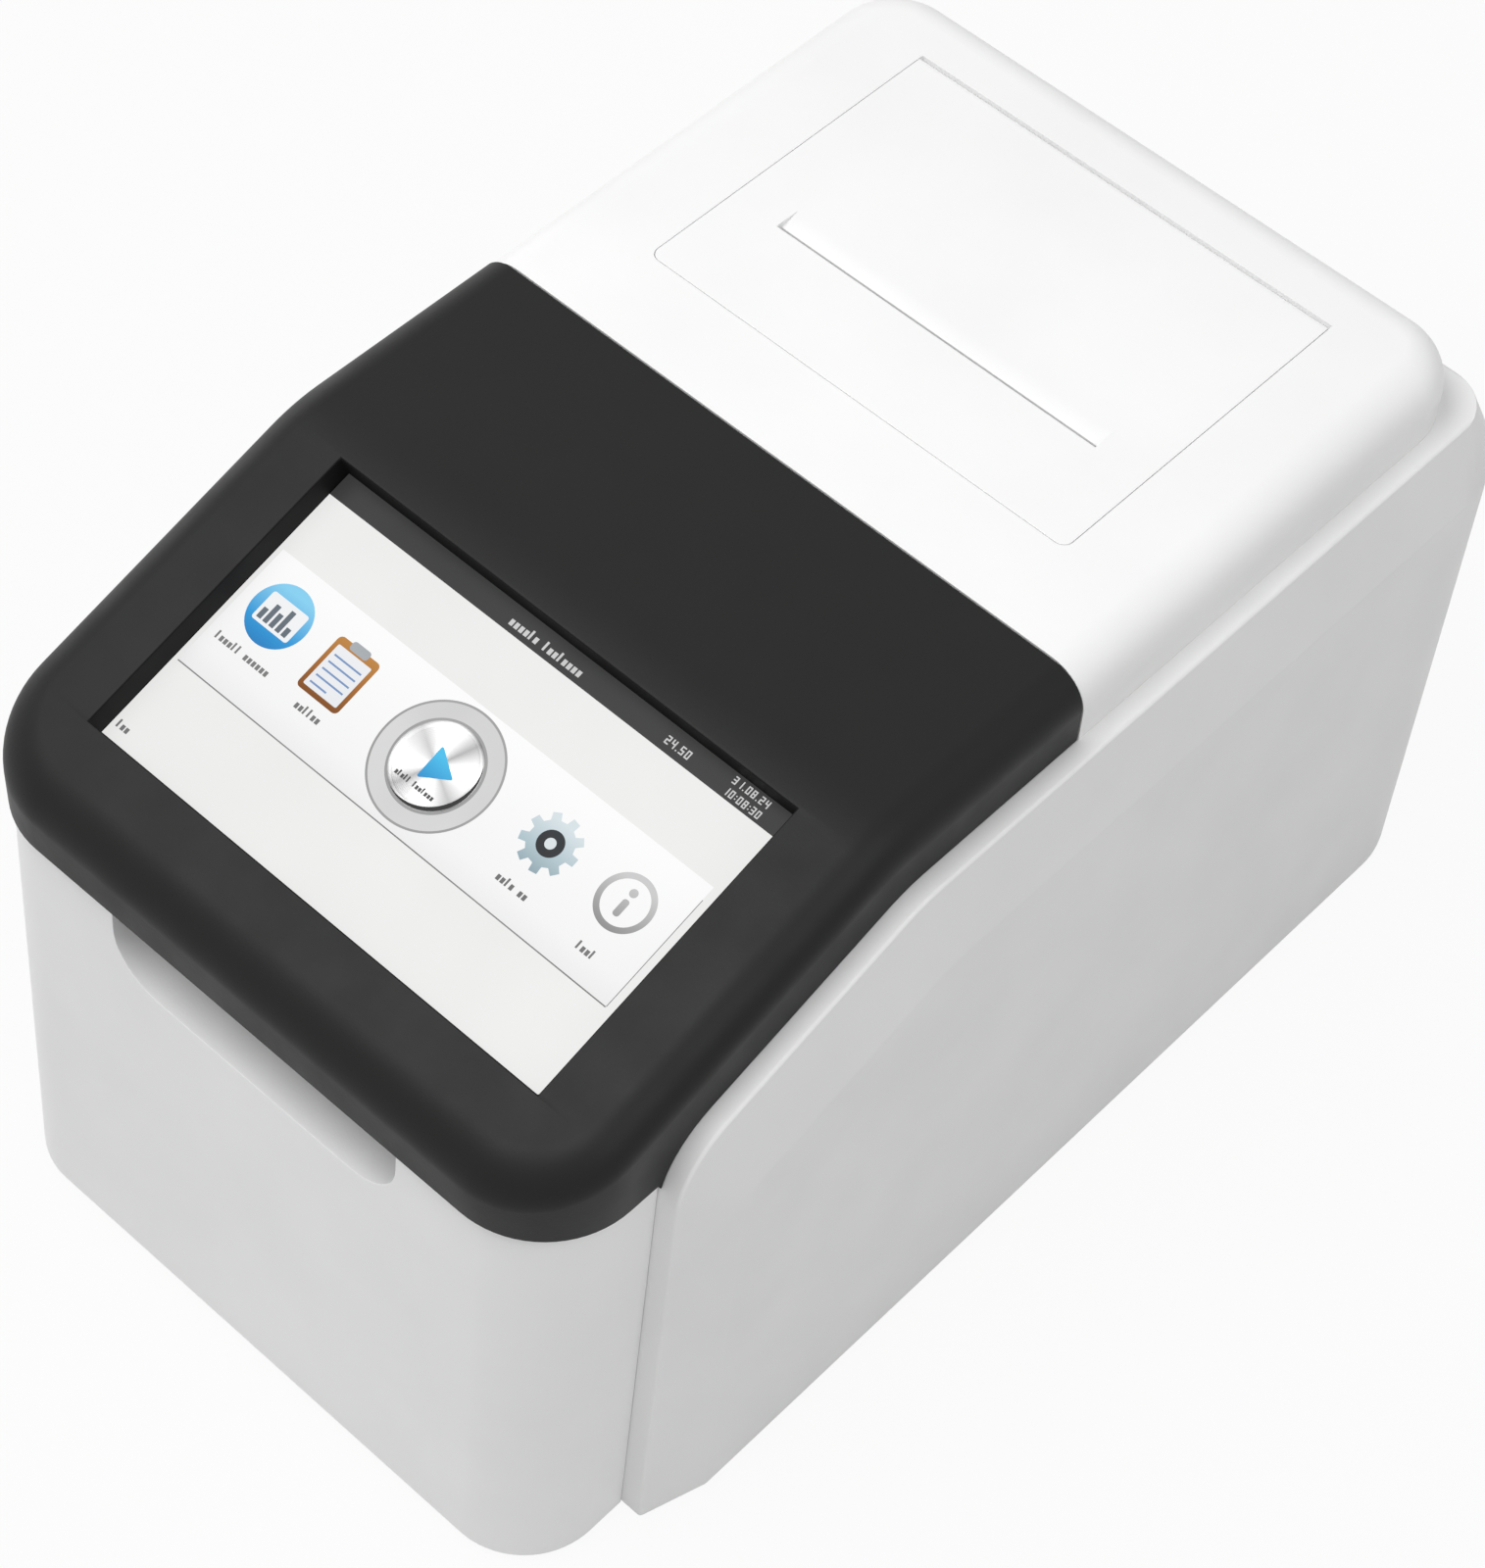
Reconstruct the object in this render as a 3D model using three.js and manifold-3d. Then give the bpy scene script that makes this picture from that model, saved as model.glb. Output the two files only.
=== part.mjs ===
// Desktop chemistry analyzer: a grey case with a white top cover, a black sloped fascia with a
// recessed touch screen, a full-width reagent drawer below it and a printer under a hinged door.
// Millimetres, +Z up. The origin is on the table under the middle of the case; the front faces -Y.
import * as THREE from 'three';
import Module from 'manifold-3d';
import { mergeVertices } from 'three/addons/utils/BufferGeometryUtils.js';

const wasm = await Module();
wasm.setup();

const degrees = THREE.MathUtils.degToRad;

// Overall size of the case
const caseWidth = 226;
const caseDepth = 374;
const caseHeight = 213;
const wall = 3;
const footHeight = 3;
const caseClear = 2.5;
const frontLean = Math.tan(degrees(2.6));

// Gaps and cuts
const seam = 0.4;
const seat = 0.2;
const slack = 0.5;
const overrun = 5;

// Fascia and cover meet at mid depth; the screen slope falls from ahead of that line to the front
const splitY = 0;
const levelDepth = 69;
const slopeDrop = 37.93;
const lipDrop = 59;
const lipOverhang = 3;

// The grey case: a ledge at the top, a chamfered band below it and flat outer sides
const ledgeDrop = 22;
const skirtDrop = 24.1;
const bandHeight = 26.5;
const bandSlopeHeight = 28.9;
const bandInset = 6;
const bandFrontDepth = 19.5;
const bandRearDepth = 22;
const ledgeWidth = 5.5;
const ledgeRearWidth = 6.5;
const ledgeShelf = 5.5;
const shellSetback = 35.5;

const half = caseWidth / 2;
const frontY = -caseDepth / 2;
const rearY = caseDepth / 2;
const shellFrontY = frontY + shellSetback;
const bendY = splitY - levelDepth;
const ledgeZ = caseHeight - ledgeDrop;
const bandZ = ledgeZ - bandHeight;
const ledgeHalf = half - bandInset;
const coverHalf = ledgeHalf - ledgeWidth;
const openingHalf = coverHalf - ledgeShelf;
const ledgeRearY = rearY - bandRearDepth;
const coverRearY = ledgeRearY - ledgeRearWidth;
const lipZ = caseHeight - lipDrop;
const fasciaFrontY = frontY + frontLean * lipZ - lipOverhang;
const slopeRise = slopeDrop / (bendY - fasciaFrontY);
const screenTilt = Math.atan(slopeRise);

const quarter = Math.PI / 2;
const hands = [['left', -1], ['right', 1]];

// Materials
function plastic(color, roughness = 0.55) {
  return new THREE.MeshStandardMaterial({ color, roughness, metalness: 0 });
}

function metal(color, roughness = 0.35) {
  return new THREE.MeshStandardMaterial({ color, roughness, metalness: 1 });
}

const white = plastic(0xf2f2f2);
const caseGrey = plastic(0xc9c9c9);
const drawerWhite = plastic(0xdcdcdc);
const black = plastic(0x393939, 0.6);
const darkPlastic = plastic(0x1d1e20);
const rubber = plastic(0x161616, 0.9);
const glass = plastic(0x20242a, 0.1);
const boardGreen = plastic(0x1f5b36, 0.5);
const paper = plastic(0xf6f5ef, 0.8);
const amber = plastic(0xd9cba3, 0.5);
const steel = metal(0xb9bcc0);
const darkSteel = metal(0x6d7074, 0.45);
const brass = metal(0xc9a552);

// Solids from geometry, and geometry from solids
const mergeDistance = 1e-4;

function solidFrom(positions, index) {
  const solid = new wasm.Manifold(new wasm.Mesh({
    numProp: 3,
    vertProperties: Float32Array.from(positions),
    triVerts: Uint32Array.from(index),
  }));
  if (solid.volume() >= 0) return solid;
  const turned = [];
  for (let i = 0; i < index.length; i += 3) turned.push(index[i], index[i + 2], index[i + 1]);
  return solidFrom(positions, turned);
}

function solidOf(geometry) {
  const bare = geometry.index ? geometry.toNonIndexed() : geometry.clone();
  bare.deleteAttribute('normal');
  bare.deleteAttribute('uv');
  const merged = mergeVertices(bare, mergeDistance);
  return solidFrom(merged.attributes.position.array, merged.index.array);
}

function geometryOf(solid) {
  const mesh = solid.getMesh();
  const count = mesh.numProp;
  const positions = new Float32Array(mesh.numVert * 3);
  for (let i = 0; i < mesh.numVert; i += 1) {
    positions.set(mesh.vertProperties.subarray(i * count, i * count + 3), i * 3);
  }
  const geometry = new THREE.BufferGeometry();
  geometry.setAttribute('position', new THREE.BufferAttribute(positions, 3));
  geometry.setIndex(Array.from(mesh.triVerts));
  geometry.computeVertexNormals();
  return geometry;
}

function joined(...solids) {
  return solids.reduce((whole, next) => whole.add(next));
}

function cut(solid, ...tools) {
  return tools.reduce((whole, next) => whole.subtract(next), solid);
}

// Directions in which outlines are pushed out: an outline's two numbers are the next two axes
const along = {
  x: new THREE.Matrix4().makeBasis(
    new THREE.Vector3(0, 1, 0), new THREE.Vector3(0, 0, 1), new THREE.Vector3(1, 0, 0)),
  y: new THREE.Matrix4().makeBasis(
    new THREE.Vector3(0, 0, 1), new THREE.Vector3(1, 0, 0), new THREE.Vector3(0, 1, 0)),
  z: new THREE.Matrix4(),
};

// The sloped screen plane: x across, y up the slope, z out of it, from the bend line
const onSlope = new THREE.Matrix4().makeTranslation(0, bendY, caseHeight).multiply(
  new THREE.Matrix4().makeRotationX(screenTilt));

function placed(geometry, frame) {
  return solidOf(frame ? geometry.applyMatrix4(frame) : geometry);
}

function block([x0, x1], [y0, y1], [z0, z1], frame) {
  const geometry = new THREE.BoxGeometry(x1 - x0, y1 - y0, z1 - z0);
  geometry.translate((x0 + x1) / 2, (y0 + y1) / 2, (z0 + z1) / 2);
  return placed(geometry, frame);
}

// The stretch between two distances from the middle, on the left (-1) or the right (1)
function handed(side, near, far) {
  return side > 0 ? [near, far] : [-far, -near];
}

function prism(axis, outline, from, to, frame) {
  const shape = new THREE.Shape(outline.map(([u, v]) => new THREE.Vector2(u, v)));
  const geometry = new THREE.ExtrudeGeometry(shape, { depth: to - from, bevelEnabled: false });
  geometry.translate(0, 0, from).applyMatrix4(along[axis]);
  return placed(geometry, frame);
}

function circle(radius, [u, v], sides) {
  return Array.from({ length: sides }, (_, i) => {
    const angle = (i + 0.5) / sides * Math.PI * 2;
    return [u + radius * Math.cos(angle), v + radius * Math.sin(angle)];
  });
}

function rod(axis, radius, centre, from, to, sides = 24) {
  return prism(axis, circle(radius, centre, sides), from, to);
}

function ring(axis, outer, inner, centre, from, to, sides = 32) {
  return cut(rod(axis, outer, centre, from, to, sides),
    rod(axis, inner, centre, from - overrun, to + overrun, sides));
}

// An outline whose corners are rounded; each point is [u, v, radius]
function rounded(points, steps = 4) {
  const outline = [];
  points.forEach(([u, v, radius = 0], i) => {
    const before = points.at(i - 1);
    const after = points[(i + 1) % points.length];
    const corner = new THREE.Vector2(u, v);
    if (radius === 0) {
      outline.push([u, v]);
      return;
    }
    const back = new THREE.Vector2(before[0], before[1]).sub(corner);
    const on = new THREE.Vector2(after[0], after[1]).sub(corner);
    const room = Math.min(back.length(), on.length()) / 2;
    back.normalize();
    on.normalize();
    const halfAngle = Math.acos(THREE.MathUtils.clamp(back.dot(on), -1, 1)) / 2;
    const reach = Math.min(radius / Math.tan(halfAngle), room);
    const bend = reach * Math.tan(halfAngle);
    const centre = back.clone().add(on).normalize().multiplyScalar(bend / Math.sin(halfAngle));
    const start = back.clone().multiplyScalar(reach).sub(centre).angle();
    const end = on.clone().multiplyScalar(reach).sub(centre).angle();
    const turn = Math.atan2(Math.sin(end - start), Math.cos(end - start));
    for (let k = 0; k <= steps; k += 1) {
      const angle = start + turn * k / steps;
      outline.push([
        u + centre.x + bend * Math.cos(angle),
        v + centre.y + bend * Math.sin(angle),
      ]);
    }
  });
  return outline;
}

function rectangle([u0, u1], [v0, v1], radius = 0, steps = 4) {
  return rounded([[u0, v0, radius], [u1, v0, radius], [u1, v1, radius], [u0, v1, radius]], steps);
}

// A skin through rings of matching points, closed at both ends
function loft(rings, capOf) {
  const count = rings[0].length;
  const index = [];
  for (let r = 0; r < rings.length - 1; r += 1) {
    for (let i = 0; i < count; i += 1) {
      const a = r * count + i;
      const b = r * count + (i + 1) % count;
      index.push(a, b, b + count, a, b + count, a + count);
    }
  }
  const last = (rings.length - 1) * count;
  for (const [i, j, k] of capOf(rings[0])) index.push(k, j, i);
  for (const [i, j, k] of capOf(rings.at(-1))) index.push(last + i, last + j, last + k);
  return solidFrom(rings.flat(2), index);
}

// Ends made of strips between a ring's two mirrored halves
function stripCap(points) {
  const count = points.length;
  const faces = [];
  for (let i = 0; i < count / 2 - 1; i += 1) {
    faces.push([i, i + 1, count - 2 - i], [i, count - 2 - i, count - 1 - i]);
  }
  return faces;
}

// Ends made by cutting a flat ring into triangles, seen along X or Y
function flatCap(u, v) {
  return (points) => {
    const outline = points.map((p) => new THREE.Vector2(p[u], p[v]));
    const faces = THREE.ShapeUtils.triangulateShape(outline, []);
    return THREE.ShapeUtils.isClockWise(outline) ? faces.map(([i, j, k]) => [i, k, j]) : faces;
  };
}

function piece(group, name, solid, material) {
  const mesh = new THREE.Mesh(geometryOf(solid), material);
  mesh.name = name;
  group.add(mesh);
}

const analyzer = new THREE.Group();
const drawer = new THREE.Group();
const printerDoor = new THREE.Group();
const printer = new THREE.Group();
analyzer.add(drawer, printerDoor, printer);

// Heights of the sloped screen plane, and of the fascia with its rounded bend
const bendRadius = 50;
const bendSteps = 4;
const bendReach = bendRadius * Math.tan(screenTilt / 2);

function slopeZ(y) {
  return caseHeight - slopeRise * (bendY - y);
}

function fasciaTop(y) {
  const start = bendY + bendReach;
  if (y >= start) return caseHeight;
  if (y <= start - bendRadius * Math.sin(screenTilt)) return slopeZ(y);
  return caseHeight - bendRadius + Math.sqrt(bendRadius ** 2 - (start - y) ** 2);
}

const bendStations = Array.from({ length: bendSteps + 1 }, (_, i) => (
  bendY + bendReach - bendRadius * Math.sin(screenTilt * i / bendSteps)));

// A shell form with rounded upper edges: flat at one end in Y, round-cornered at the other
function pillow({ halfWidth, flatY, roundY, cornerRadius, edgeRadius, topAt, bottom, stations }) {
  const cornerSteps = 8;
  const edgeSteps = 6;
  const toward = Math.sign(roundY - flatY);
  const ringAt = (inset, heightAt) => {
    const radius = cornerRadius - inset;
    const right = [flatY, ...stations].map((y) => [halfWidth - inset, y]);
    for (let i = 0; i <= cornerSteps; i += 1) {
      const angle = quarter * i / cornerSteps;
      right.push([
        halfWidth - cornerRadius + radius * Math.cos(angle),
        roundY - toward * (cornerRadius - radius * Math.sin(angle)),
      ]);
    }
    const left = right.map(([x, y]) => [-x, y]).reverse();
    return [...right, ...left].map(([x, y]) => [x, y, heightAt(y)]);
  };
  const rings = [ringAt(0, () => bottom)];
  for (let i = 0; i <= edgeSteps; i += 1) {
    const angle = quarter * i / edgeSteps;
    const drop = edgeRadius * (1 - Math.sin(angle));
    rings.push(ringAt(edgeRadius * (1 - Math.cos(angle)), (y) => topAt(y) - drop));
  }
  return loft(rings, stripCap);
}

// Side outline of the grey case: the flat side, or the ledge that stands in and up from it
const bandCornerRadius = 9;
const ledgeCornerRadius = 24;
const ledgeBendRadius = 40;

function sideOutline({ front, top, drop, rear, corner, low }) {
  const cornerZ = (slopeZ(front) - drop) / (1 - slopeRise * frontLean);
  const bend = bendY + (top - caseHeight + drop) / slopeRise;
  return rounded([
    [front + frontLean * low, low],
    [front + frontLean * cornerZ, cornerZ, corner],
    [bend, top, ledgeBendRadius],
    ...rear,
  ], 5);
}

function ledgeOutline(inset, low) {
  const rear = rearY - inset;
  return sideOutline({
    front: shellFrontY + inset,
    top: ledgeZ - inset,
    drop: skirtDrop + inset,
    corner: ledgeCornerRadius,
    rear: [[ledgeRearY - inset, ledgeZ - inset], [rear, bandZ - inset / 2], [rear, low]],
    low,
  });
}

function sideFaceOutline(inset, low) {
  const rear = rearY - inset;
  return sideOutline({
    front: shellFrontY + bandFrontDepth + inset,
    top: bandZ - inset / 2,
    drop: skirtDrop + bandSlopeHeight + inset / 2,
    corner: bandCornerRadius,
    rear: [[rear - bandInset, bandZ - inset / 2], [rear, bandZ - bandInset], [rear, low]],
    low,
  });
}

// Plan outline that rounds the case's rear corners, run out past the flat sides
const rearCornerRadius = 36;
const ledgeRearCornerRadius = 14;
const rearCornerSteps = 8;

function rearCornerRing(halfWidth, rear, radius, z) {
  const right = [];
  for (let i = 0; i <= rearCornerSteps; i += 1) {
    const angle = quarter * i / rearCornerSteps;
    right.push(new THREE.Vector2(
      halfWidth - radius + radius * Math.cos(angle), rear - radius + radius * Math.sin(angle)));
  }
  const runOut = 3;
  const first = right[0].clone().add(right[0].clone().sub(right[1]).multiplyScalar(runOut));
  const last = right.at(-1).clone().add(right.at(-1).clone().sub(right.at(-2)).multiplyScalar(runOut));
  const arc = [new THREE.Vector2(first.x, frontY - overrun), first, ...right.slice(1, -1), last];
  return [...arc.map((p) => [p.x, p.y, z]), ...arc.map((p) => [-p.x, p.y, z]).reverse()];
}

function caseForm(inset, low) {
  const face = sideFaceOutline(inset, low);
  const ledge = ledgeOutline(inset, low);
  const at = (x, outline) => outline.map(([y, z]) => [x, y, z]);
  const sides = loft([
    at(-half + inset, face), at(-ledgeHalf + inset, ledge),
    at(ledgeHalf - inset, ledge), at(half - inset, face),
  ], flatCap(1, 2));
  const wide = [half - inset, rearY - inset, rearCornerRadius - inset];
  const narrow = [ledgeHalf - inset, ledgeRearY - inset, ledgeRearCornerRadius - inset];
  const corners = loft([
    rearCornerRing(...wide, low - overrun), rearCornerRing(...wide, bandZ - inset / 2),
    rearCornerRing(...narrow, ledgeZ - inset), rearCornerRing(...narrow, ledgeZ + overrun),
  ], stripCap);
  return sides.intersect(corners);
}

// Places of what shows on the rear wall
const rearWallInner = rearY - wall;
const flatWallHalf = half - rearCornerRadius;
const inlet = { x: -48, z: 30, halfWidth: 14, halfHeight: 10, depth: 24, flange: 4 };
const powerSwitch = {
  x: -10, z: 30, halfWidth: 6.5, halfHeight: 9.5, depth: 18, flange: 1.8, pivotInset: 6,
};
const fanHalf = 30;
const fanMargin = 5;
const fanZ = 80;
const fan = {
  x: flatWallHalf - fanHalf - fanMargin, z: fanZ, half: fanHalf,
  depth: 15, bore: 28, hub: 11, clear: 1,
};
const networkHeight = 13.4;
const portBoard = 1.6;
const portRiseShare = 0.35;
const fanTop = fanZ + fanHalf;
const ports = {
  z: fanTop + (bandZ - fanTop - portBoard - networkHeight) * portRiseShare,
  board: portBoard, depth: 14, halfWidth: 6.6, height: 5.8, shell: 0.6,
  usbX: [-46, -26], networkX: -2, networkHalfWidth: 8, networkHeight,
  boardDepth: 30, postHeight: 4, postRadius: 3, flangeHeight: 8,
};

function ventSlots() {
  const slotHeight = 3;
  const slotPitch = 7;
  const slotCount = 7;
  const slots = [];
  for (let i = 0; i < slotCount; i += 1) {
    const z = fan.z + (i - (slotCount - 1) / 2) * slotPitch;
    const reach = Math.sqrt(fan.bore ** 2 - (z - fan.z) ** 2);
    slots.push(prism('y', rectangle([z - slotHeight / 2, z + slotHeight / 2],
      [fan.x - reach, fan.x + reach], slotHeight / 2 - seat), rearWallInner - overrun, rearY + overrun));
  }
  return slots;
}

function rearHole(x, z, halfWidth, halfHeight) {
  return block([x - halfWidth - seat, x + halfWidth + seat],
    [rearWallInner - overrun, rearY + overrun], [z - halfHeight - seat, z + halfHeight + seat]);
}

function makeCase() {
  const openingRear = coverRearY - ledgeShelf;
  const openingRadius = 16;
  const opening = prism('z', rectangle([-openingHalf, openingHalf],
    [frontY - overrun, openingRear], openingRadius), -overrun, caseHeight);
  const shell = cut(caseForm(0, caseClear), caseForm(wall, caseClear - overrun), opening);
  const portTop = ports.z + ports.board;
  const holes = [
    rearHole(inlet.x, inlet.z, inlet.halfWidth, inlet.halfHeight),
    rearHole(powerSwitch.x, powerSwitch.z, powerSwitch.halfWidth, powerSwitch.halfHeight),
    ...ports.usbX.map((x) => rearHole(
      x, portTop + ports.height / 2, ports.halfWidth, ports.height / 2)),
    rearHole(ports.networkX, portTop + ports.networkHeight / 2,
      ports.networkHalfWidth, ports.networkHeight / 2),
  ];
  piece(analyzer, 'case_shell', cut(shell, ...holes, ...ventSlots()), caseGrey);
}

// Base plate, feet and the screws that hold the chassis to it
const plateThickness = 2.5;
const plateTop = footHeight + plateThickness;
const screwHeadRadius = 3.4;
const screwHeadHeight = 1.6;
const screwRadius = 1.8;
const footRadius = 9;
const footSideInset = 25;
const footFrontInset = 48;
const footRearInset = 42;

const sheet = 2;
const chassisOuter = openingHalf - 1;
const chassisInner = chassisOuter - sheet;
const chassisFlange = 16;
const chassisScrewX = chassisInner - chassisFlange / 2;
const railSetback = 8;
const chassisSetback = 2;
const chassisLength = 190;
const chassisScrewFront = 51.5;
const chassisScrewRear = 28.5;
const railFrontY = shellFrontY + railSetback;
const chassisFrontY = railFrontY + chassisSetback;
const chassisRearY = chassisFrontY + chassisLength;
const screwYs = [chassisFrontY + chassisScrewFront, chassisRearY - chassisScrewRear];

function makeBase() {
  const edge = half - wall - seam;
  const rear = rearWallInner - seam;
  const radius = rearCornerRadius - wall - seam;
  const front = shellFrontY + wall + seam;
  const plate = prism('z', rounded([
    [-edge, front + bandFrontDepth], [-openingHalf, front], [openingHalf, front],
    [edge, front + bandFrontDepth], [edge, rear, radius], [-edge, rear, radius],
  ], 6), footHeight, plateTop);
  const holes = screwYs.flatMap((y) => [-1, 1].map((side) => rod('z', screwRadius + seam,
    [side * chassisScrewX, y], 0, plateTop + overrun, 16)));
  piece(analyzer, 'base_plate', cut(plate, ...holes), darkSteel);

  const footX = half - footSideInset;
  const footYs = [['front', frontY + footFrontInset], ['rear', rearY - footRearInset]];
  for (const [end, y] of footYs) {
    for (const [hand, side] of hands) {
      piece(analyzer, `foot_${end}_${hand}`,
        rod('z', footRadius, [side * footX, y], 0, footHeight - seat, 24), rubber);
    }
  }
  for (const [end, y] of [['front', screwYs[0]], ['rear', screwYs[1]]]) {
    for (const [hand, side] of hands) {
      const centre = [side * chassisScrewX, y];
      const head = footHeight - seat;
      piece(analyzer, `base_screw_${end}_${hand}`, joined(
        rod('z', screwHeadRadius, centre, head - screwHeadHeight, head, 16),
        rod('z', screwRadius, centre, head - seat, plateTop + sheet + seat, 12),
      ), steel);
    }
  }
}

// White top cover with the printer door's opening
const coverCornerRadius = 20;
const coverEdgeRadius = 12;
const doorSideInset = 31.5;
const doorFrontShare = 0.18;
const doorRearShare = 0.852;
const doorCornerRadius = 3;
const doorHalf = coverHalf - doorSideInset;
const doorFrontY = splitY + (coverRearY - splitY) * doorFrontShare;
const doorRearY = splitY + (coverRearY - splitY) * doorRearShare;

const pinRadius = 1.1;
const pinBore = 1.4;
const rollRadius = 2.5;
const doorGap = 0.35;
const rollInset = 1;
const pinY = doorRearY - rollRadius;
const pinZ = caseHeight - rollRadius;
const lugLength = 9;
const pinPlay = 1;

const tongueLength = 6;
const tongueOverlap = 0.8;

function coverForm(inset, flatY, low) {
  return pillow({
    halfWidth: coverHalf - inset,
    flatY,
    roundY: coverRearY - inset,
    cornerRadius: coverCornerRadius - inset,
    edgeRadius: coverEdgeRadius - inset,
    topAt: () => caseHeight - inset,
    bottom: low,
    stations: [],
  });
}

// The printer door's outline, grown by a gap, as far back as the given line
function doorOutline(gap, rear) {
  const side = doorHalf + gap;
  const front = doorFrontY - gap;
  const radius = doorCornerRadius + gap;
  return rounded([[-side, rear], [-side, front, radius], [side, front, radius], [side, rear]], 5);
}

function makeCover() {
  const flat = splitY + seam / 2;
  const low = ledgeZ + seat;
  const opening = prism('z', doorOutline(doorGap, doorRearY + doorGap), ledgeZ, caseHeight + overrun);
  const shell = cut(coverForm(0, flat, low), coverForm(wall, flat - overrun, low - overrun));
  const tongueInset = wall - tongueOverlap + seam;
  const tongueBack = flat + tongueLength / 2;
  const tongueCut = block([-half, half], [tongueBack, rearY], [0, caseHeight]);
  const tongue = cut(
    coverForm(tongueInset, flat - tongueLength, low),
    coverForm(tongueInset + sheet, flat - tongueLength - overrun, low - overrun),
    tongueCut,
  );
  const lugs = [-1, 1].map((side) => block(
    handed(side, doorHalf + doorGap, doorHalf + doorGap + lugLength),
    [pinY - rollRadius - pinRadius, doorRearY + wall + doorGap],
    [pinZ - rollRadius - pinRadius, caseHeight - wall / 2]));
  const bores = rod('x', pinBore, [pinY, pinZ], -doorHalf - lugLength, doorHalf + lugLength, 16);
  piece(analyzer, 'top_cover', cut(joined(cut(shell, opening), tongue, ...lugs), bores), white);
}

// Black fascia with the recessed window for the screen
const fasciaCornerRadius = 28;
const fasciaEdgeRadius = 10.5;
const windowSideInset = 25.2;
const windowBelowBend = 6.7;
const windowAboveLip = 23.7;
const windowDepth = 8;
const windowFrame = 2.5;
const slopeLength = (bendY - fasciaFrontY) / Math.cos(screenTilt);
const windowWidth = 2 * (coverHalf - windowSideInset);
const windowHeight = slopeLength - windowBelowBend - windowAboveLip;
const windowV = -windowBelowBend - windowHeight / 2;

function fasciaForm(inset, flatY, low) {
  return pillow({
    halfWidth: coverHalf - inset,
    flatY,
    roundY: fasciaFrontY + inset,
    cornerRadius: fasciaCornerRadius - inset,
    edgeRadius: fasciaEdgeRadius - inset,
    topAt: (y) => fasciaTop(y) - inset,
    bottom: low,
    stations: bendStations,
  });
}

function windowBlock(grow, n0, n1) {
  return block([-windowWidth / 2 - grow, windowWidth / 2 + grow],
    [windowV - windowHeight / 2 - grow, windowV + windowHeight / 2 + grow], [n0, n1], onSlope);
}

function makeFascia() {
  const flat = splitY - seam / 2;
  const low = lipZ - overrun;
  const shell = cut(fasciaForm(0, flat, low), fasciaForm(wall, flat + overrun, low - overrun));
  const rebate = cut(
    fasciaForm(wall - tongueOverlap, flat + overrun, low - overrun),
    block([-half, half], [frontY - overrun, splitY - tongueLength - slack], [0, caseHeight]),
  );
  const skirt = prism('x', ledgeOutline(-seat, -overrun), -half, half);
  const underLip = block([-half, half], [frontY - overrun, shellFrontY + frontLean * lipZ],
    [0, lipZ]);
  const frame = windowBlock(windowFrame, -windowDepth, -wall / 2);
  const opening = windowBlock(0, -windowDepth - overrun, overrun);
  piece(analyzer, 'front_fascia',
    cut(joined(cut(shell, rebate), frame), opening, skirt, underLip), black);
}

// Touch glass, screen module and the bracket that holds both up against the fascia
const glassLap = 2;
const glassThickness = 1.8;
const moduleSideLap = 5.8;
const moduleEndLap = 3.8;
const moduleThickness = 6;
const moduleHalf = windowWidth / 2 + moduleSideLap;
const moduleHalfHeight = windowHeight / 2 + moduleEndLap;
const bracketSheet = 1.5;
const bracketPost = 5;
const bracketReach = 6;

function makeScreen() {
  const glassTop = -windowDepth - seat;
  piece(analyzer, 'touch_glass',
    windowBlock(glassLap, glassTop - glassThickness, glassTop), glass);
  const moduleTop = glassTop - glassThickness - seat;
  const moduleLow = moduleTop - moduleThickness;
  piece(analyzer, 'screen_module', block([-moduleHalf, moduleHalf],
    [windowV - moduleHalfHeight, windowV + moduleHalfHeight], [moduleLow, moduleTop], onSlope), steel);
  const plateHigh = moduleLow - seat;
  const outer = moduleHalf + bracketReach;
  const plate = block([-outer, outer],
    [windowV - moduleHalfHeight, windowV + moduleHalfHeight],
    [plateHigh - bracketSheet, plateHigh], onSlope);
  const ventHalf = moduleHalf / 2;
  const vent = block([-ventHalf, ventHalf],
    [windowV - moduleHalfHeight / 2, windowV + moduleHalfHeight / 2],
    [plateHigh - bracketSheet - overrun, plateHigh + overrun], onSlope);
  const posts = [-1, 1].flatMap((side) => [-1, 1].map((end) => {
    const x = side * (outer - bracketPost / 2);
    const v = windowV + end * (moduleHalfHeight - bracketPost * 2);
    return block([x - bracketPost / 2, x + bracketPost / 2],
      [v - bracketPost / 2, v + bracketPost / 2],
      [plateHigh - bracketSheet, -wall - 2 * seat], onSlope);
  }));
  piece(analyzer, 'screen_bracket', joined(cut(plate, vent), ...posts), darkSteel);
}

// Drawer: a front with a finger recess, and a tray with the disc well
const drawerInset = 1;
const drawerHalf = coverHalf - drawerInset;
const drawerCornerRadius = 24;
const drawerWall = 3.2;
const drawerLow = caseClear + seat;
const drawerTop = lipZ - 1;
const drawerGap = 0.8;
const drawerFlange = 24;

const recessSideInset = 51;
const recessHeight = 26;
const recessHalf = drawerHalf - recessSideInset;
const recessCornerRadius = 22;
const recessDepth = 16;
const recessRise = 17;
const recessWall = 2.4;

function faceY(z) {
  return frontY + frontLean * (z - drawerLow);
}

function drawerRing(inset, z, endY) {
  const steps = 8;
  const radius = drawerCornerRadius - inset;
  const right = [[drawerHalf - inset, endY + frontLean * z]];
  for (let i = 0; i <= steps; i += 1) {
    const angle = quarter * i / steps;
    right.push([
      drawerHalf - drawerCornerRadius + radius * Math.cos(angle),
      faceY(z) + drawerCornerRadius - radius * Math.sin(angle),
    ]);
  }
  return [...right, ...right.map(([x, y]) => [-x, y]).reverse()].map(([x, y]) => [x, y, z]);
}

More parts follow.
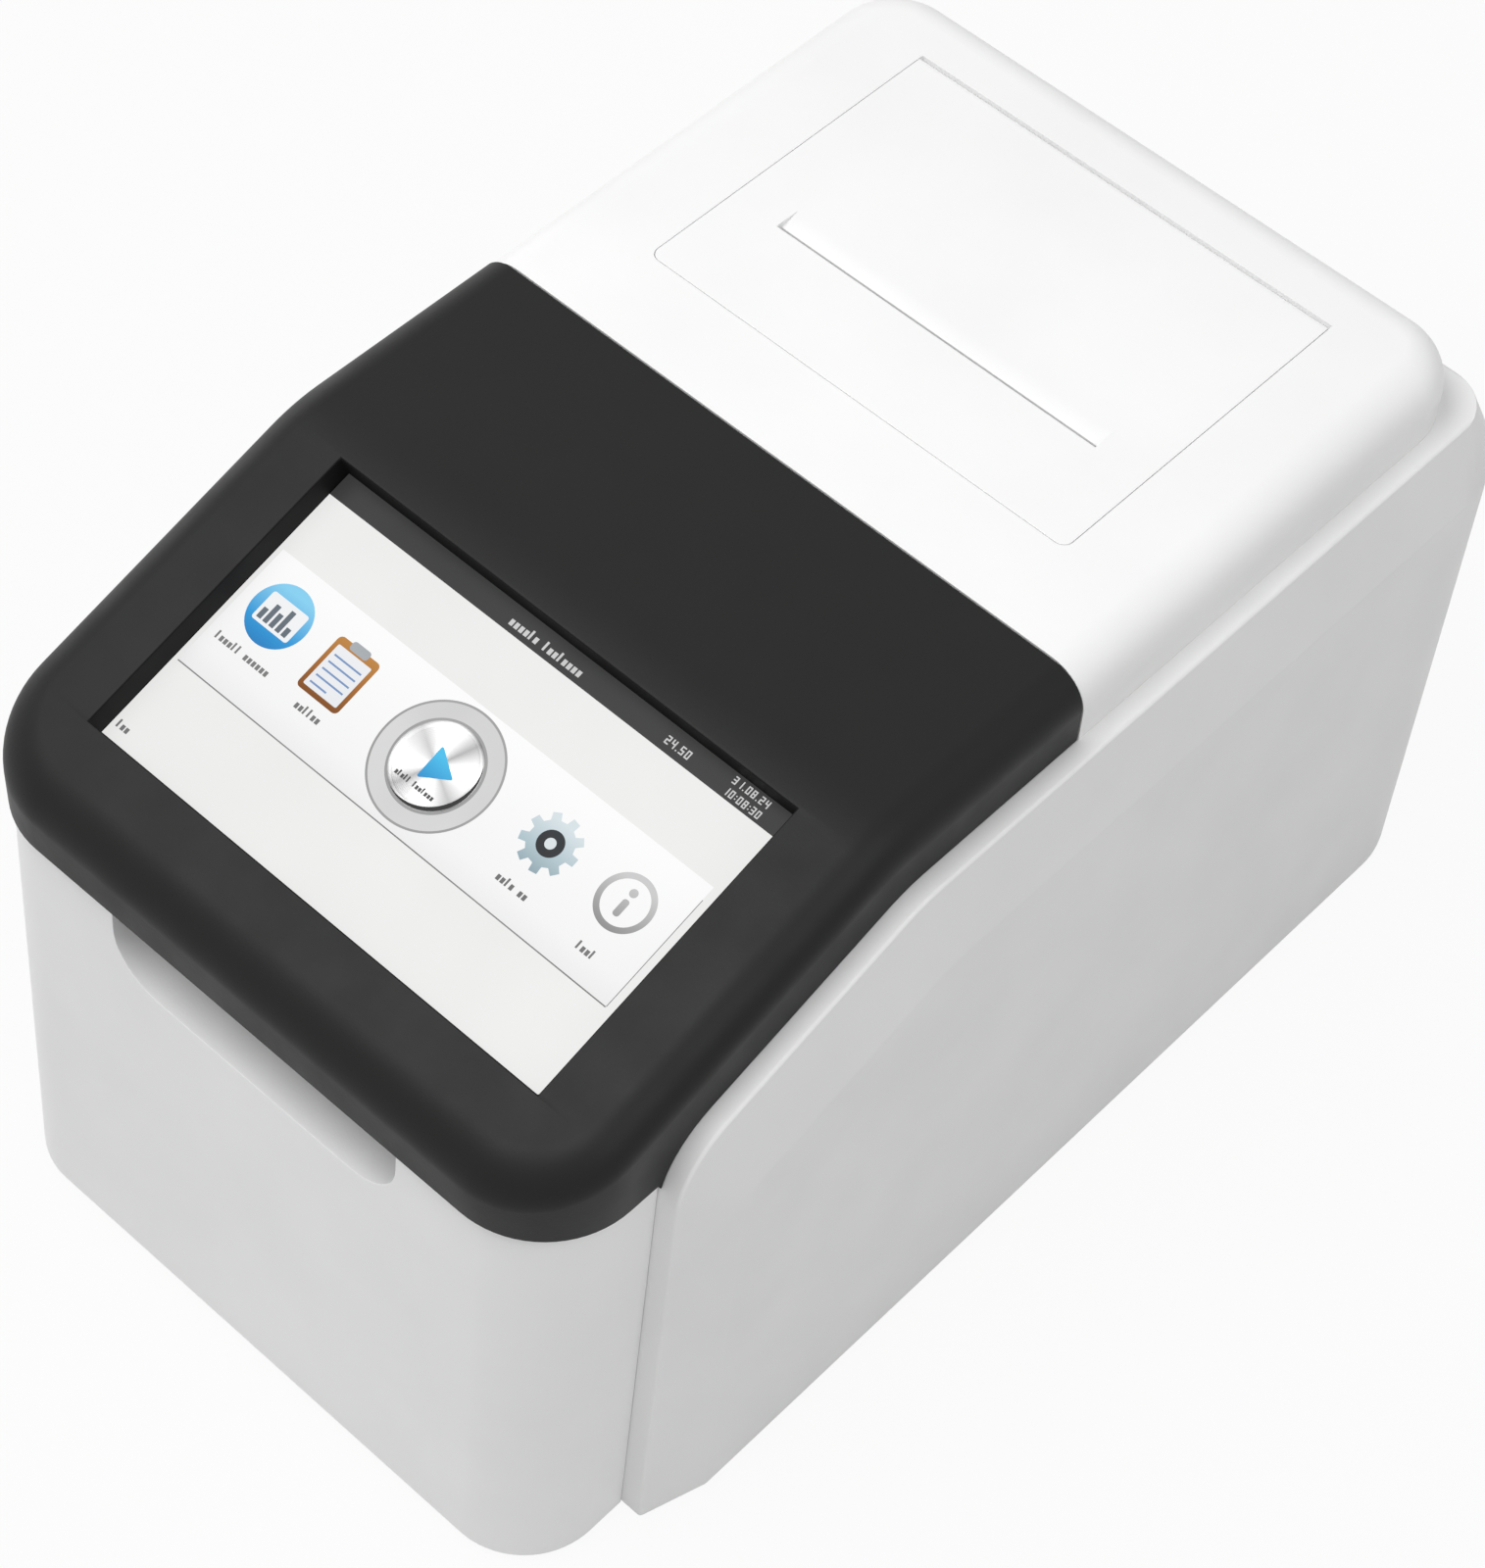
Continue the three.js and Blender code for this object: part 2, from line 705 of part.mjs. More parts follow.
// The scoop of the finger recess: outlines that shrink as they go deeper, open at the top
function recessForm(grow, top, start) {
  const steps = 5;
  const ringAt = (depth, rise) => {
    const low = drawerTop - recessHeight - grow + rise;
    const outer = recessHalf + grow - rise / 3;
    return rounded([
      [-outer, top], [-outer, low, recessCornerRadius + grow], [outer, low, recessCornerRadius + grow],
      [outer, top],
    ], 5).map(([x, z]) => [x, faceY(z) + depth, z]);
  };
  const rings = [ringAt(start, 0)];
  for (let i = 0; i <= steps; i += 1) {
    const angle = quarter * i / steps;
    const depth = (recessDepth + grow) * Math.sin(angle);
    if (depth > start) rings.push(ringAt(depth, recessRise * (1 - Math.cos(angle))));
  }
  return loft(rings, flatCap(0, 2));
}

function makeDrawerFront() {
  const endY = frontY + shellSetback - drawerGap;
  const shell = cut(
    loft([drawerRing(0, drawerLow, endY), drawerRing(0, drawerTop, endY)], stripCap),
    loft([drawerRing(drawerWall, drawerLow - overrun, endY + overrun),
      drawerRing(drawerWall, drawerTop - drawerWall, endY + overrun)], stripCap),
    block([-drawerHalf + drawerWall, drawerHalf - drawerWall],
      [faceY(drawerTop) + drawerFlange, shellFrontY + overrun * 3],
      [drawerTop - drawerWall - overrun, drawerTop + overrun]),
  );
  const pocket = recessForm(recessWall, drawerTop - drawerWall / 2, drawerWall / 2);
  const scoop = recessForm(0, drawerTop + overrun, -overrun);
  piece(drawer, 'drawer_front', cut(joined(shell, pocket), scoop), drawerWhite);
}

// Heights of the tray: its deck lies below the finger recess
const deckDrop = 32;
const deckThickness = 3;
const skirtHeight = 29;
const deckTop = drawerTop - deckDrop;
const trayLow = deckTop - skirtHeight;

// Slides: a bar on the tray runs in a channel on the chassis
const railDepth = 4.2;
const railLap = 2.2;
const railHeight = 6;
const channelLip = 3;
const railAbove = 13;
const drawerTravel = 135;
const railOverlap = 28;
const railSpare = 4;
const railLength = drawerTravel + railOverlap;
const channelWeb = 1.6;
const channelLength = railLength + railSpare;
const channelOuter = chassisInner - seat;
const channelInner = channelOuter - channelWeb - railDepth;
const barOuter = channelOuter - channelWeb - slack;
const trayHalf = channelInner - railLap;
const railZ = trayLow + railAbove;

function makeSlides() {
  for (const [hand, side] of hands) {
    const mirrored = (points) => points.map(([z, x]) => [z, side * x]);
    const halfBar = railHeight / 2;
    const halfChannel = halfBar + slack;
    const channel = prism('y', mirrored([
      [railZ - halfChannel - channelLip, channelOuter], [railZ + halfChannel + channelLip, channelOuter],
      [railZ + halfChannel + channelLip, channelInner], [railZ + halfChannel, channelInner],
      [railZ + halfChannel, channelOuter - channelWeb], [railZ - halfChannel, channelOuter - channelWeb],
      [railZ - halfChannel, channelInner], [railZ - halfChannel - channelLip, channelInner],
    ]), railFrontY, railFrontY + channelLength);
    piece(analyzer, `slide_channel_${hand}`, channel, steel);
    const bar = prism('y', mirrored([
      [railZ - halfBar, trayHalf + seat], [railZ + halfBar, trayHalf + seat],
      [railZ + halfBar, barOuter], [railZ - halfBar, barOuter],
    ]), railFrontY, railFrontY + railLength);
    piece(drawer, `slide_bar_${hand}`, bar, steel);
  }
}

const trayWall = 2.4;
const trayRearSetback = 147;
const wellSetback = 80;
const wellCentreY = frontY + wellSetback;
const wellRadius = 43;
const wellDepth = 15;
const wellFloor = 3;
const wellFloorZ = deckTop - wellDepth;
const spindleRadius = 3;
const spindleClear = 1;
const slitWidth = 6;
const slitLength = 10;
const opticsRadius = 34;
const catchThickness = 3;
const catchRise = 10;
const catchInset = 8.8;
const catchReach = 8;
const catchLip = 4;
const catchBore = 4;
const catchTop = trayLow + catchRise;
const catchX = trayHalf - catchInset;

const apronHalf = drawerHalf - drawerCornerRadius;
const cornerRoom = 2;

const trayFrontY = faceY(deckTop) + drawerWall + cornerRoom;
const trayRearY = frontY + trayRearSetback;
const catchY = trayRearY - catchBore - catchLip;
const opticsY = wellCentreY + opticsRadius;

function makeTray() {
  const deck = block([-trayHalf, trayHalf], [trayFrontY, trayRearY], [deckTop - deckThickness, deckTop]);
  const behind = drawerWall + seat;
  const apron = prism('x', [
    [faceY(trayLow) + behind, trayLow], [trayFrontY + trayWall, trayLow],
    [trayFrontY + trayWall, deckTop], [faceY(deckTop) + behind, deckTop],
  ], -apronHalf, apronHalf);
  const skirts = [-1, 1].map((side) => block(handed(side, trayHalf - trayWall, trayHalf),
    [trayFrontY, trayRearY], [trayLow, deckTop]));
  const centre = [0, wellCentreY];
  const cup = rod('z', wellRadius + trayWall, centre, wellFloorZ - wellFloor, deckTop, 40);
  const catchPlate = block([catchX - catchReach, trayHalf], [catchY - catchReach, trayRearY],
    [catchTop - catchThickness, catchTop]);
  piece(drawer, 'drawer_tray', cut(
    joined(deck, apron, ...skirts, cup, catchPlate),
    rod('z', wellRadius, centre, wellFloorZ, deckTop + overrun, 40),
    rod('z', spindleRadius + spindleClear, centre, trayLow, deckTop, 20),
    block([-slitWidth / 2, slitWidth / 2], [opticsY - slitLength / 2, opticsY + slitLength / 2],
      [trayLow, deckTop]),
    rod('z', catchBore, [catchX, catchY], trayLow, deckTop - deckThickness - seat, 16),
  ), white);
}

// Spindle: the motor under the well, and the turntable that carries the reagent disc
const motorRadius = 17;
const motorHeight = 24;
const turntableRadius = 16;
const turntableThickness = 2.5;
const turntableRise = 1;
const noseRadius = 5;
const noseHeight = 6;
const shaftDepth = 10;
const driveRadius = 10;
const drivePin = 1.5;
const drivePinHeight = 3;

function makeSpindle() {
  const centre = [0, wellCentreY];
  const motorTop = wellFloorZ - wellFloor - seat;
  const motor = cut(
    rod('z', motorRadius, centre, motorTop - motorHeight, motorTop, 32),
    rod('z', spindleRadius + slack, centre, motorTop - shaftDepth, motorTop + overrun, 20),
  );
  piece(drawer, 'spindle_motor', motor, darkSteel);
  const tableLow = wellFloorZ + turntableRise;
  const tableTop = tableLow + turntableThickness;
  const pins = [0, 1, 2].map((i) => {
    const angle = i / 3 * Math.PI * 2;
    return rod('z', drivePin, [driveRadius * Math.cos(angle), wellCentreY + driveRadius * Math.sin(angle)],
      tableTop - seat, tableTop + drivePinHeight, 12);
  });
  piece(drawer, 'spindle_turntable', joined(
    rod('z', turntableRadius, centre, tableLow, tableTop, 32),
    rod('z', noseRadius, centre, tableTop - seat, tableTop + noseHeight, 20),
    rod('z', spindleRadius, centre, motorTop - shaftDepth + slack, tableLow + seat, 20),
    ...pins,
  ), amber);
}

// Chassis: two upright plates with feet, and the deck across them
const opticsGap = 7;
const opticsDeckZ = deckTop + opticsGap;
const opticsDeckSetback = 8;
const opticsDeckLength = 140;
const opticsDeckFront = wellCentreY + opticsDeckSetback;

function makeChassis() {
  const low = plateTop + seat;
  const top = opticsDeckZ - seat;
  for (const [hand, side] of hands) {
    const points = [
      [low, chassisOuter], [top, chassisOuter], [top, chassisInner], [low + sheet, chassisInner],
      [low + sheet, chassisInner - chassisFlange], [low, chassisInner - chassisFlange],
    ].map(([z, x]) => [z, side * x]);
    const holes = screwYs.map((y) => rod('z', screwRadius + seat,
      [side * chassisScrewX, y], 0, low + sheet + overrun, 16));
    piece(analyzer, `chassis_plate_${hand}`,
      cut(prism('y', points, chassisFrontY, chassisRearY), ...holes), steel);
  }
}

const boardThickness = 1.6;
const boardSideInset = 17;
const boardSetback = 11;
const boardLength = 84;
const boardHalf = chassisOuter - boardSideInset;
const boardFront = opticsY + boardSetback;
const postHeight = 5;
const postRadius = 3.5;
const postInset = 6;
const lensRadius = 7;
const lensGap = 3;
const lensSeatShare = 0.5;
const boardZ = opticsDeckZ + sheet + postHeight;
const detectorHalf = 19;
const detectorAhead = 13;
const detectorBehind = 9;
const detectorHeight = 22;
const lampHalf = 15;
const lampAhead = 14;
const lampBehind = 16;
const lampNeck = 8;
const lampClear = 4;

function makeOptics() {
  const deckHigh = opticsDeckZ + sheet;
  const plate = block([-chassisOuter, chassisOuter],
    [opticsDeckFront, opticsDeckFront + opticsDeckLength], [opticsDeckZ, deckHigh]);
  const posts = [-1, 1].flatMap((side) => [boardFront + postInset, boardFront + boardLength - postInset]
    .map((y) => rod('z', postRadius, [side * (boardHalf - postInset), y],
      opticsDeckZ + seat, boardZ - seat, 16)));
  const hole = rod('z', lensRadius + slack, [0, opticsY], opticsDeckZ - overrun, boardZ, 24);
  piece(analyzer, 'optics_deck', cut(joined(plate, ...posts), hole), steel);

  const lensLow = deckTop + lensGap;
  const body = block([-detectorHalf, detectorHalf],
    [opticsY - detectorAhead, opticsY + detectorBehind],
    [deckHigh + seat, deckHigh + seat + detectorHeight]);
  const lensSeat = deckHigh + seat + detectorHeight * lensSeatShare;
  piece(analyzer, 'detector_module',
    cut(body, rod('z', lensRadius + slack, [0, opticsY], deckHigh, lensSeat, 24)), darkPlastic);
  piece(analyzer, 'detector_lens', rod('z', lensRadius, [0, opticsY], lensLow, lensSeat - seat, 24), glass);

  const lampTop = trayLow - lampClear;
  const neckTop = wellFloorZ - wellFloor - lampClear / 2;
  piece(analyzer, 'lamp_module', joined(
    block([-lampHalf, lampHalf], [opticsY - lampAhead, opticsY + lampBehind],
      [plateTop + seat, lampTop]),
    rod('z', lampNeck, [0, opticsY], lampTop - seat, neckTop, 20),
  ), darkPlastic);
}

// Interlock: a plunger rises into the tray's catch plate while the disc turns
const lockHalf = 9;
const lockHeight = 26;
const plungerRadius = 3;
const plungerGap = 2;
const plungerShown = 8;
const plungerDepth = 20;
const collarLap = 1.6;
const plungerRest = catchTop - catchThickness - plungerGap;

function makeLock() {
  const bodyTop = plungerRest - plungerShown;
  const bodyLow = bodyTop - lockHeight;
  const bodyRight = chassisInner - seat;
  const boreLow = bodyTop - plungerDepth;
  piece(analyzer, 'lock_solenoid', cut(
    block([catchX - lockHalf, bodyRight], [catchY - lockHalf, catchY + lockHalf], [bodyLow, bodyTop]),
    rod('z', plungerRadius + slack, [catchX, catchY], boreLow, bodyTop + overrun, 16),
  ), darkSteel);
  const collarLow = bodyTop + slack;
  piece(analyzer, 'lock_plunger', joined(
    rod('z', plungerRadius, [catchX, catchY], boreLow + slack, plungerRest, 16),
    rod('z', plungerRadius + collarLap, [catchX, catchY], collarLow, collarLow + collarLap, 16),
  ), steel);
}

// Electronics: main board, its heat sink, power supply, fan and the sockets in the rear wall
const chipTop = 9;
const boardMiddle = boardFront + boardLength / 2;

// Chips on the main board: middle, size and height as shares of the board's half sizes and of
// the tallest chip
const chipShares = [
  { x: -0.7, y: -0.45, width: 0.2, length: 0.38, height: 0.26 },
  { x: -0.25, y: 0.55, width: 0.24, length: 0.28, height: 0.2 },
  { x: 0.36, y: -0.4, width: 0.3, length: 0.55, height: 0.22 },
  { x: 0.76, y: 0.5, width: 0.18, length: 0.48, height: 1 },
  { x: -0.74, y: 0.62, width: 0.26, length: 0.2, height: 0.9 },
  { x: 0.06, y: 0.78, width: 0.38, length: 0.14, height: 0.66 },
];
const processorShares = chipShares[2];

function onBoard({ x, y, width, length }, low, high) {
  const middleX = boardHalf * x;
  const middleY = boardMiddle + boardLength / 2 * y;
  return block(
    [middleX - boardHalf * width / 2, middleX + boardHalf * width / 2],
    [middleY - boardLength / 4 * length, middleY + boardLength / 4 * length], [low, high]);
}

function makeBoard() {
  const high = boardZ + boardThickness;
  const plate = block([-boardHalf, boardHalf], [boardFront, boardFront + boardLength], [boardZ, high]);
  const chips = chipShares.map((share) => onBoard(share, boardZ + seat, high + chipTop * share.height));
  piece(analyzer, 'main_board', joined(plate, ...chips), boardGreen);

  const finCount = 5;
  const finShare = 0.45;
  const sinkLow = high + chipTop * processorShares.height + seat;
  const sinkHigh = high + chipTop;
  const floor = sinkLow + sheet;
  const pitch = processorShares.width * boardHalf / (finCount - 1 + finShare);
  const left = boardHalf * (processorShares.x - processorShares.width / 2);
  const gaps = Array.from({ length: finCount - 1 }, (_, i) => block(
    [left + pitch * (i + finShare), left + pitch * (i + 1)],
    [boardFront, boardFront + boardLength], [floor, sinkHigh + overrun]));
  piece(analyzer, 'heat_sink', cut(onBoard(processorShares, sinkLow, sinkHigh), ...gaps), darkPlastic);
}

const supplySideInset = 18;
const supplyFrontGap = 21.5;
const supplyRearGap = 12;
const supply = {
  left: supplySideInset + wall - half, right: -12,
  front: chassisRearY + supplyFrontGap, rear: rearWallInner - inlet.depth - supplyRearGap,
  height: 40, margin: 10, ribs: 7,
};

function makePowerSupply() {
  const low = plateTop + seat;
  const high = low + supply.height;
  const pitch = (supply.rear - supply.front) / supply.ribs;
  const grooves = Array.from({ length: supply.ribs - 1 }, (_, i) => block(
    [supply.left + supply.margin, supply.right - supply.margin],
    [supply.front + pitch * (i + 1) - sheet / 2, supply.front + pitch * (i + 1) + sheet / 2],
    [high - sheet, high + overrun]));
  piece(analyzer, 'power_supply', cut(block([supply.left, supply.right],
    [supply.front, supply.rear], [low, high]), ...grooves), steel);
}

function makeFan() {
  const rear = rearWallInner - seam;
  const front = rear - fan.depth;
  const centre = [fan.z, fan.x];
  const strut = 2.5;
  const strutHalf = 1.5;
  const axle = 2;
  const hubFront = front + strut + fan.clear;
  const hubRear = rear - fan.clear;
  const frame = block([fan.x - fan.half, fan.x + fan.half], [front, rear],
    [fan.z - fan.half, fan.z + fan.half]);
  const bars = [
    block([fan.x - fan.half, fan.x + fan.half], [front, front + strut],
      [fan.z - strutHalf, fan.z + strutHalf]),
    block([fan.x - strutHalf, fan.x + strutHalf], [front, front + strut],
      [fan.z - fan.half, fan.z + fan.half]),
  ];
  piece(analyzer, 'fan_frame', joined(
    cut(frame, rod('y', fan.bore, centre, front - overrun, rear + overrun, 40)), ...bars,
    rod('y', fan.hub, centre, front, front + strut, 24),
    rod('y', axle, centre, front, hubRear - fan.clear * 2, 16),
  ), darkPlastic);

  const bladeCount = 7;
  const bladeChord = 12;
  const bladeThickness = 1.2;
  const bladePitch = degrees(42);
  const middle = new THREE.Matrix4().makeTranslation(fan.x, (hubFront + hubRear) / 2, fan.z);
  const blades = Array.from({ length: bladeCount }, (_, i) => block(
    [fan.hub - fan.clear, fan.bore - fan.clear * 1.5], [-bladeChord / 2, bladeChord / 2],
    [-bladeThickness / 2, bladeThickness / 2],
    middle.clone()
      .multiply(new THREE.Matrix4().makeRotationY(i / bladeCount * Math.PI * 2))
      .multiply(new THREE.Matrix4().makeRotationX(bladePitch))));
  const hub = joined(rod('y', fan.hub, centre, hubFront, hubRear, 24), ...blades);
  piece(analyzer, 'fan_rotor',
    cut(hub, rod('y', axle + slack, centre, front, hubRear - fan.clear, 16)), black);
}

function makeInlet() {
  const outer = rearY - seam;
  const flangeRear = rearWallInner - seat;
  const cavity = { halfWidth: 12, halfHeight: 8, depth: 17 };
  const blade = { halfWidth: 1, halfHeight: 2, length: 12, spread: 7, rise: 2 };
  const floorY = outer - cavity.depth;
  const span = (half0, grow = 0) => [-half0 - grow, half0 + grow];
  const around = (halfWidth, halfHeight, y) => block(
    span(halfWidth).map((x) => inlet.x + x), y, span(halfHeight).map((z) => inlet.z + z));
  const blades = [[-blade.spread, -blade.rise], [0, blade.rise], [blade.spread, -blade.rise]]
    .map(([x, z]) => block(
      span(blade.halfWidth).map((u) => inlet.x + x + u), [floorY - seat, floorY + blade.length],
      span(blade.halfHeight).map((u) => inlet.z + z + u)));
  piece(analyzer, 'power_inlet', joined(
    cut(joined(
      around(inlet.halfWidth, inlet.halfHeight, [rearWallInner - inlet.depth, outer]),
      around(inlet.halfWidth + inlet.flange, inlet.halfHeight + inlet.flange,
        [flangeRear - sheet, flangeRear]),
    ), around(cavity.halfWidth, cavity.halfHeight, [floorY, outer + overrun])),
    ...blades,
  ), darkPlastic);
}

function makeSwitch() {
  const { x, z, halfWidth, halfHeight, depth, flange } = powerSwitch;
  const outer = rearY - seam;
  const flangeRear = rearWallInner - seat;
  const rocker = {
    halfWidth: 4.3, halfHeight: 7.3, reach: 3.8, dip: 1.2, tail: 4, pin: 1, pinReach: 1.3,
    sideClear: 0.3, endClear: 1,
  };
  const pivotY = rearY - powerSwitch.pivotInset;
  const tilt = degrees(10);
  const cavityHalfWidth = rocker.halfWidth + rocker.sideClear;
  const cavityHalfHeight = rocker.halfHeight + rocker.endClear;
  const body = joined(
    block([x - halfWidth, x + halfWidth], [rearWallInner - depth, outer], [z - halfHeight, z + halfHeight]),
    block([x - halfWidth - flange, x + halfWidth + flange], [flangeRear - sheet, flangeRear],
      [z - halfHeight - flange, z + halfHeight + flange]),
  );
  const cavity = block([x - cavityHalfWidth, x + cavityHalfWidth],
    [pivotY - rocker.tail - rocker.endClear, outer + overrun],
    [z - cavityHalfHeight, z + cavityHalfHeight]);
  const boreReach = rocker.halfWidth + rocker.pinReach + seat;
  const bore = rod('x', rocker.pin + seat, [pivotY, z], x - boreReach, x + boreReach, 16);
  piece(analyzer, 'switch_bezel', cut(body, cavity, bore), darkPlastic);

  const turn = (y0, z0) => [
    pivotY + y0 * Math.cos(tilt) - z0 * Math.sin(tilt),
    z + y0 * Math.sin(tilt) + z0 * Math.cos(tilt),
  ];
  const { reach, tail, dip } = rocker;
  const tall = rocker.halfHeight;
  const key = prism('x', [
    turn(reach, -tall), turn(reach - dip, 0), turn(reach, tall), turn(0, tall),
    turn(-tail, dip), turn(-tail, -dip), turn(0, -tall),
  ], x - rocker.halfWidth, x + rocker.halfWidth);
  const pinEnd = rocker.halfWidth + rocker.pinReach;
  piece(analyzer, 'switch_rocker',
    joined(key, rod('x', rocker.pin, [pivotY, z], x - pinEnd, x + pinEnd, 16)), black);
}

function makePorts() {
  const rear = rearWallInner - seam;
  const front = rear - ports.boardDepth;
  const left = ports.usbX[0] - ports.halfWidth - sheet;
  const right = ports.networkX + ports.networkHalfWidth + sheet;
  const top = ports.z + ports.board;
  const outer = rearY - seam;
  piece(analyzer, 'port_board', block([left, right], [front, rear], [ports.z, top]), boardGreen);

  const socket = (name, x, halfWidth, height, tongue) => {
    const inner = halfWidth - ports.shell;
    const low = top + seat;
    const shell = cut(
      block([x - halfWidth, x + halfWidth], [outer - ports.depth, outer], [low, low + height - seat]),
      block([x - inner, x + inner], [outer - ports.depth + sheet, outer + overrun],
        [low + ports.shell, low + height - seat - ports.shell]),
    );
    const middle = low + height / 2;
    const bar = block([x - tongue, x + tongue], [outer - ports.depth + seat, outer - sheet],
      [middle - ports.shell, middle + ports.shell]);
    piece(analyzer, name, joined(shell, bar), steel);
  };
  socket('usb_port_left', ports.usbX[0], ports.halfWidth, ports.height, ports.halfWidth - sheet);
  socket('usb_port_right', ports.usbX[1], ports.halfWidth, ports.height, ports.halfWidth - sheet);
  socket('network_port', ports.networkX, ports.networkHalfWidth, ports.networkHeight,
    ports.networkHalfWidth - 2 * sheet);

  const shelfTop = ports.z - ports.postHeight;
  const shelf = block([left, right], [front, rear], [shelfTop - sheet, shelfTop]);
  const flange = block([left, right], [rear - sheet, rear], [shelfTop - ports.flangeHeight, shelfTop]);
  const edge = ports.postRadius + sheet;
  const posts = [left + edge, right - edge].flatMap((x) => [front + edge, rear - edge].map((y) => rod(
    'z', ports.postRadius, [x, y], shelfTop - seat, ports.z - seat, 12)));
  piece(analyzer, 'port_bracket', joined(shelf, flange, ...posts), steel);
}

// Printer under the door: tub, frame, platen with its drive, head and paper roll
const tubSideInset = 10;
const tubWall = 2;
const tubHalf = doorHalf - tubSideInset;
const tubFrontInset = 8;
const tubRearClear = 2.5;
const rimClear = 0.3;
const rimThickness = 2.5;
const rimFront = 18;
const rimRear = 3;
const rimSide = 7;
const tubFront = doorFrontY + tubFrontInset + tubWall;
const tubRear = doorRearY + tubRearClear;
const rimTop = caseHeight - wall - rimClear;

const slotShare = 0.3;
const slotY = doorFrontY + (doorRearY - doorFrontY) * slotShare;
const slotSideInset = 16;
const slotHalf = doorHalf - slotSideInset;
const slotWidth = 2;
const wedgeDepth = 1.8;
const wedgeLength = 8.5;
const bossWall = 2.5;

const platenRadius = 5.5;
const platenDrop = 21;
const platenSideInset = 18;
const platen = {
  radius: platenRadius, half: tubHalf - platenSideInset, shaft: 2,
  y: slotY + platenRadius, z: caseHeight - platenDrop,
};
const gearModule = 0.8;
const gearTeeth = 26;
const pinionTeeth = 14;
const backlash = 0.15;
const gearWidth = 5;
const gearGap = 2;
const gearDistance = gearModule * (gearTeeth + pinionTeeth) / 2 + backlash;
const pinionZ = platen.z - gearDistance;
const frameAhead = 8.5;
const frameBehind = 15.5;
const frameAbove = 8;
const frameWeb = 28;
const frameInner = platen.half + sheet;
const frameFront = slotY - frameAhead;
const frameRear = slotY + frameBehind;
const frameTop = platen.z + frameAbove;
const gearX = frameInner + sheet + gearGap;
const shaftPlay = 1.5;

const headHeight = 15;
const headRise = 7;
const headClear = 0.3;
const motorRadiusSmall = 9;
const motorLengthSmall = 20;
const pinionShaft = 1.5;
const pinionShaftDepth = 8;

const paperFrontGap = 3;
const paperRearGap = 10.5;
const paperEndGap = 20;
const paperLift = 4;
const paperDrop = 7.7;
const rollSpindleRadius = 6;
const cradleDepth = 7;
const cradleWall = 3;
const paperHalf = tubHalf - paperEndGap;
const paperRadius = (tubRear - paperRearGap - frameRear - paperFrontGap) / 2;
const rollY = frameRear + paperFrontGap + paperRadius;
const tubFloorZ = rimTop - paperDrop - 2 * paperRadius - paperLift;
const rollZ = tubFloorZ + paperLift + paperRadius;
const cradleHalf = rollSpindleRadius + cradleWall;

function makeDoor() {
  const plate = prism('z', doorOutline(0, pinY), caseHeight - wall, caseHeight);
  const rollHalf = doorHalf - rollInset;
  const roll = rod('x', rollRadius, [pinY, pinZ], -rollHalf, rollHalf, 24);
  const pinEnd = doorHalf + lugLength - pinPlay;
  const pin = rod('x', pinRadius, [pinY, pinZ], -pinEnd, pinEnd, 16);
  const wedgeLow = caseHeight - wedgeDepth;
  const boss = block([-slotHalf - bossWall, slotHalf + bossWall],
    [slotY - slotWidth / 2 - bossWall, slotY + wedgeLength],
    [wedgeLow - bossWall, caseHeight - wall / 2]);
  const slot = block([-slotHalf, slotHalf], [slotY - slotWidth / 2, slotY + slotWidth / 2],
    [wedgeLow - bossWall - overrun, caseHeight + overrun]);
  const high = caseHeight + seat;
  const wedge = prism('x', [
    [slotY - slotWidth / 2, high], [slotY - slotWidth / 2, wedgeLow], [slotY + slotWidth / 2, wedgeLow],
    [slotY - slotWidth / 2 + wedgeLength, high],
  ], -slotHalf, slotHalf);
  piece(printerDoor, 'printer_door', cut(joined(plate, roll, pin, boss), slot, wedge), white);
}

function makeTub() {
  const outerHalf = tubHalf + tubWall;
  const rimLow = rimTop - rimThickness;
  const front = tubFront - tubWall;
  const rear = tubRear + tubWall;
  const body = block([-outerHalf, outerHalf], [front, rear], [tubFloorZ - tubWall, rimTop]);
  const hollow = block([-tubHalf, tubHalf], [tubFront, tubRear], [tubFloorZ, caseHeight]);
  const rims = [
    block([-outerHalf - rimSide, outerHalf + rimSide], [front - rimFront, front + seat], [rimLow, rimTop]),
    block([-outerHalf, outerHalf], [rear - seat, rear + rimRear], [rimLow, rimTop]),
    ...[-1, 1].map((side) => block(handed(side, outerHalf - seat, outerHalf + rimSide),
      [front - seat, pinY - rollRadius * 2], [rimLow, rimTop])),
  ];
  const pinRoom = block([-half, half], [pinY - rollRadius * 2, pinY + rollRadius * 2],
    [rimLow - seat, caseHeight]);
  const rearRim = block([-outerHalf, outerHalf], [tubRear, rear], [rimLow - seat * 2, rimTop]);
  const cradles = [-1, 1].map((side) => block(handed(side, tubHalf - cradleDepth, tubHalf + seat),
    [rollY - cradleHalf, rollY + cradleHalf], [tubFloorZ - seat, rollZ + rollSpindleRadius]));
  const seats = joined(
    rod('x', rollSpindleRadius + seat, [rollY, rollZ], -tubHalf, tubHalf, 24),
    block([-tubHalf, tubHalf], [rollY - rollSpindleRadius - seat, rollY + rollSpindleRadius + seat],
      [rollZ, caseHeight]),
  );
  const shell = cut(joined(cut(body, hollow), ...rims), pinRoom);
  piece(printer, 'printer_tub', cut(joined(shell, rearRim, ...cradles), seats), darkPlastic);
}

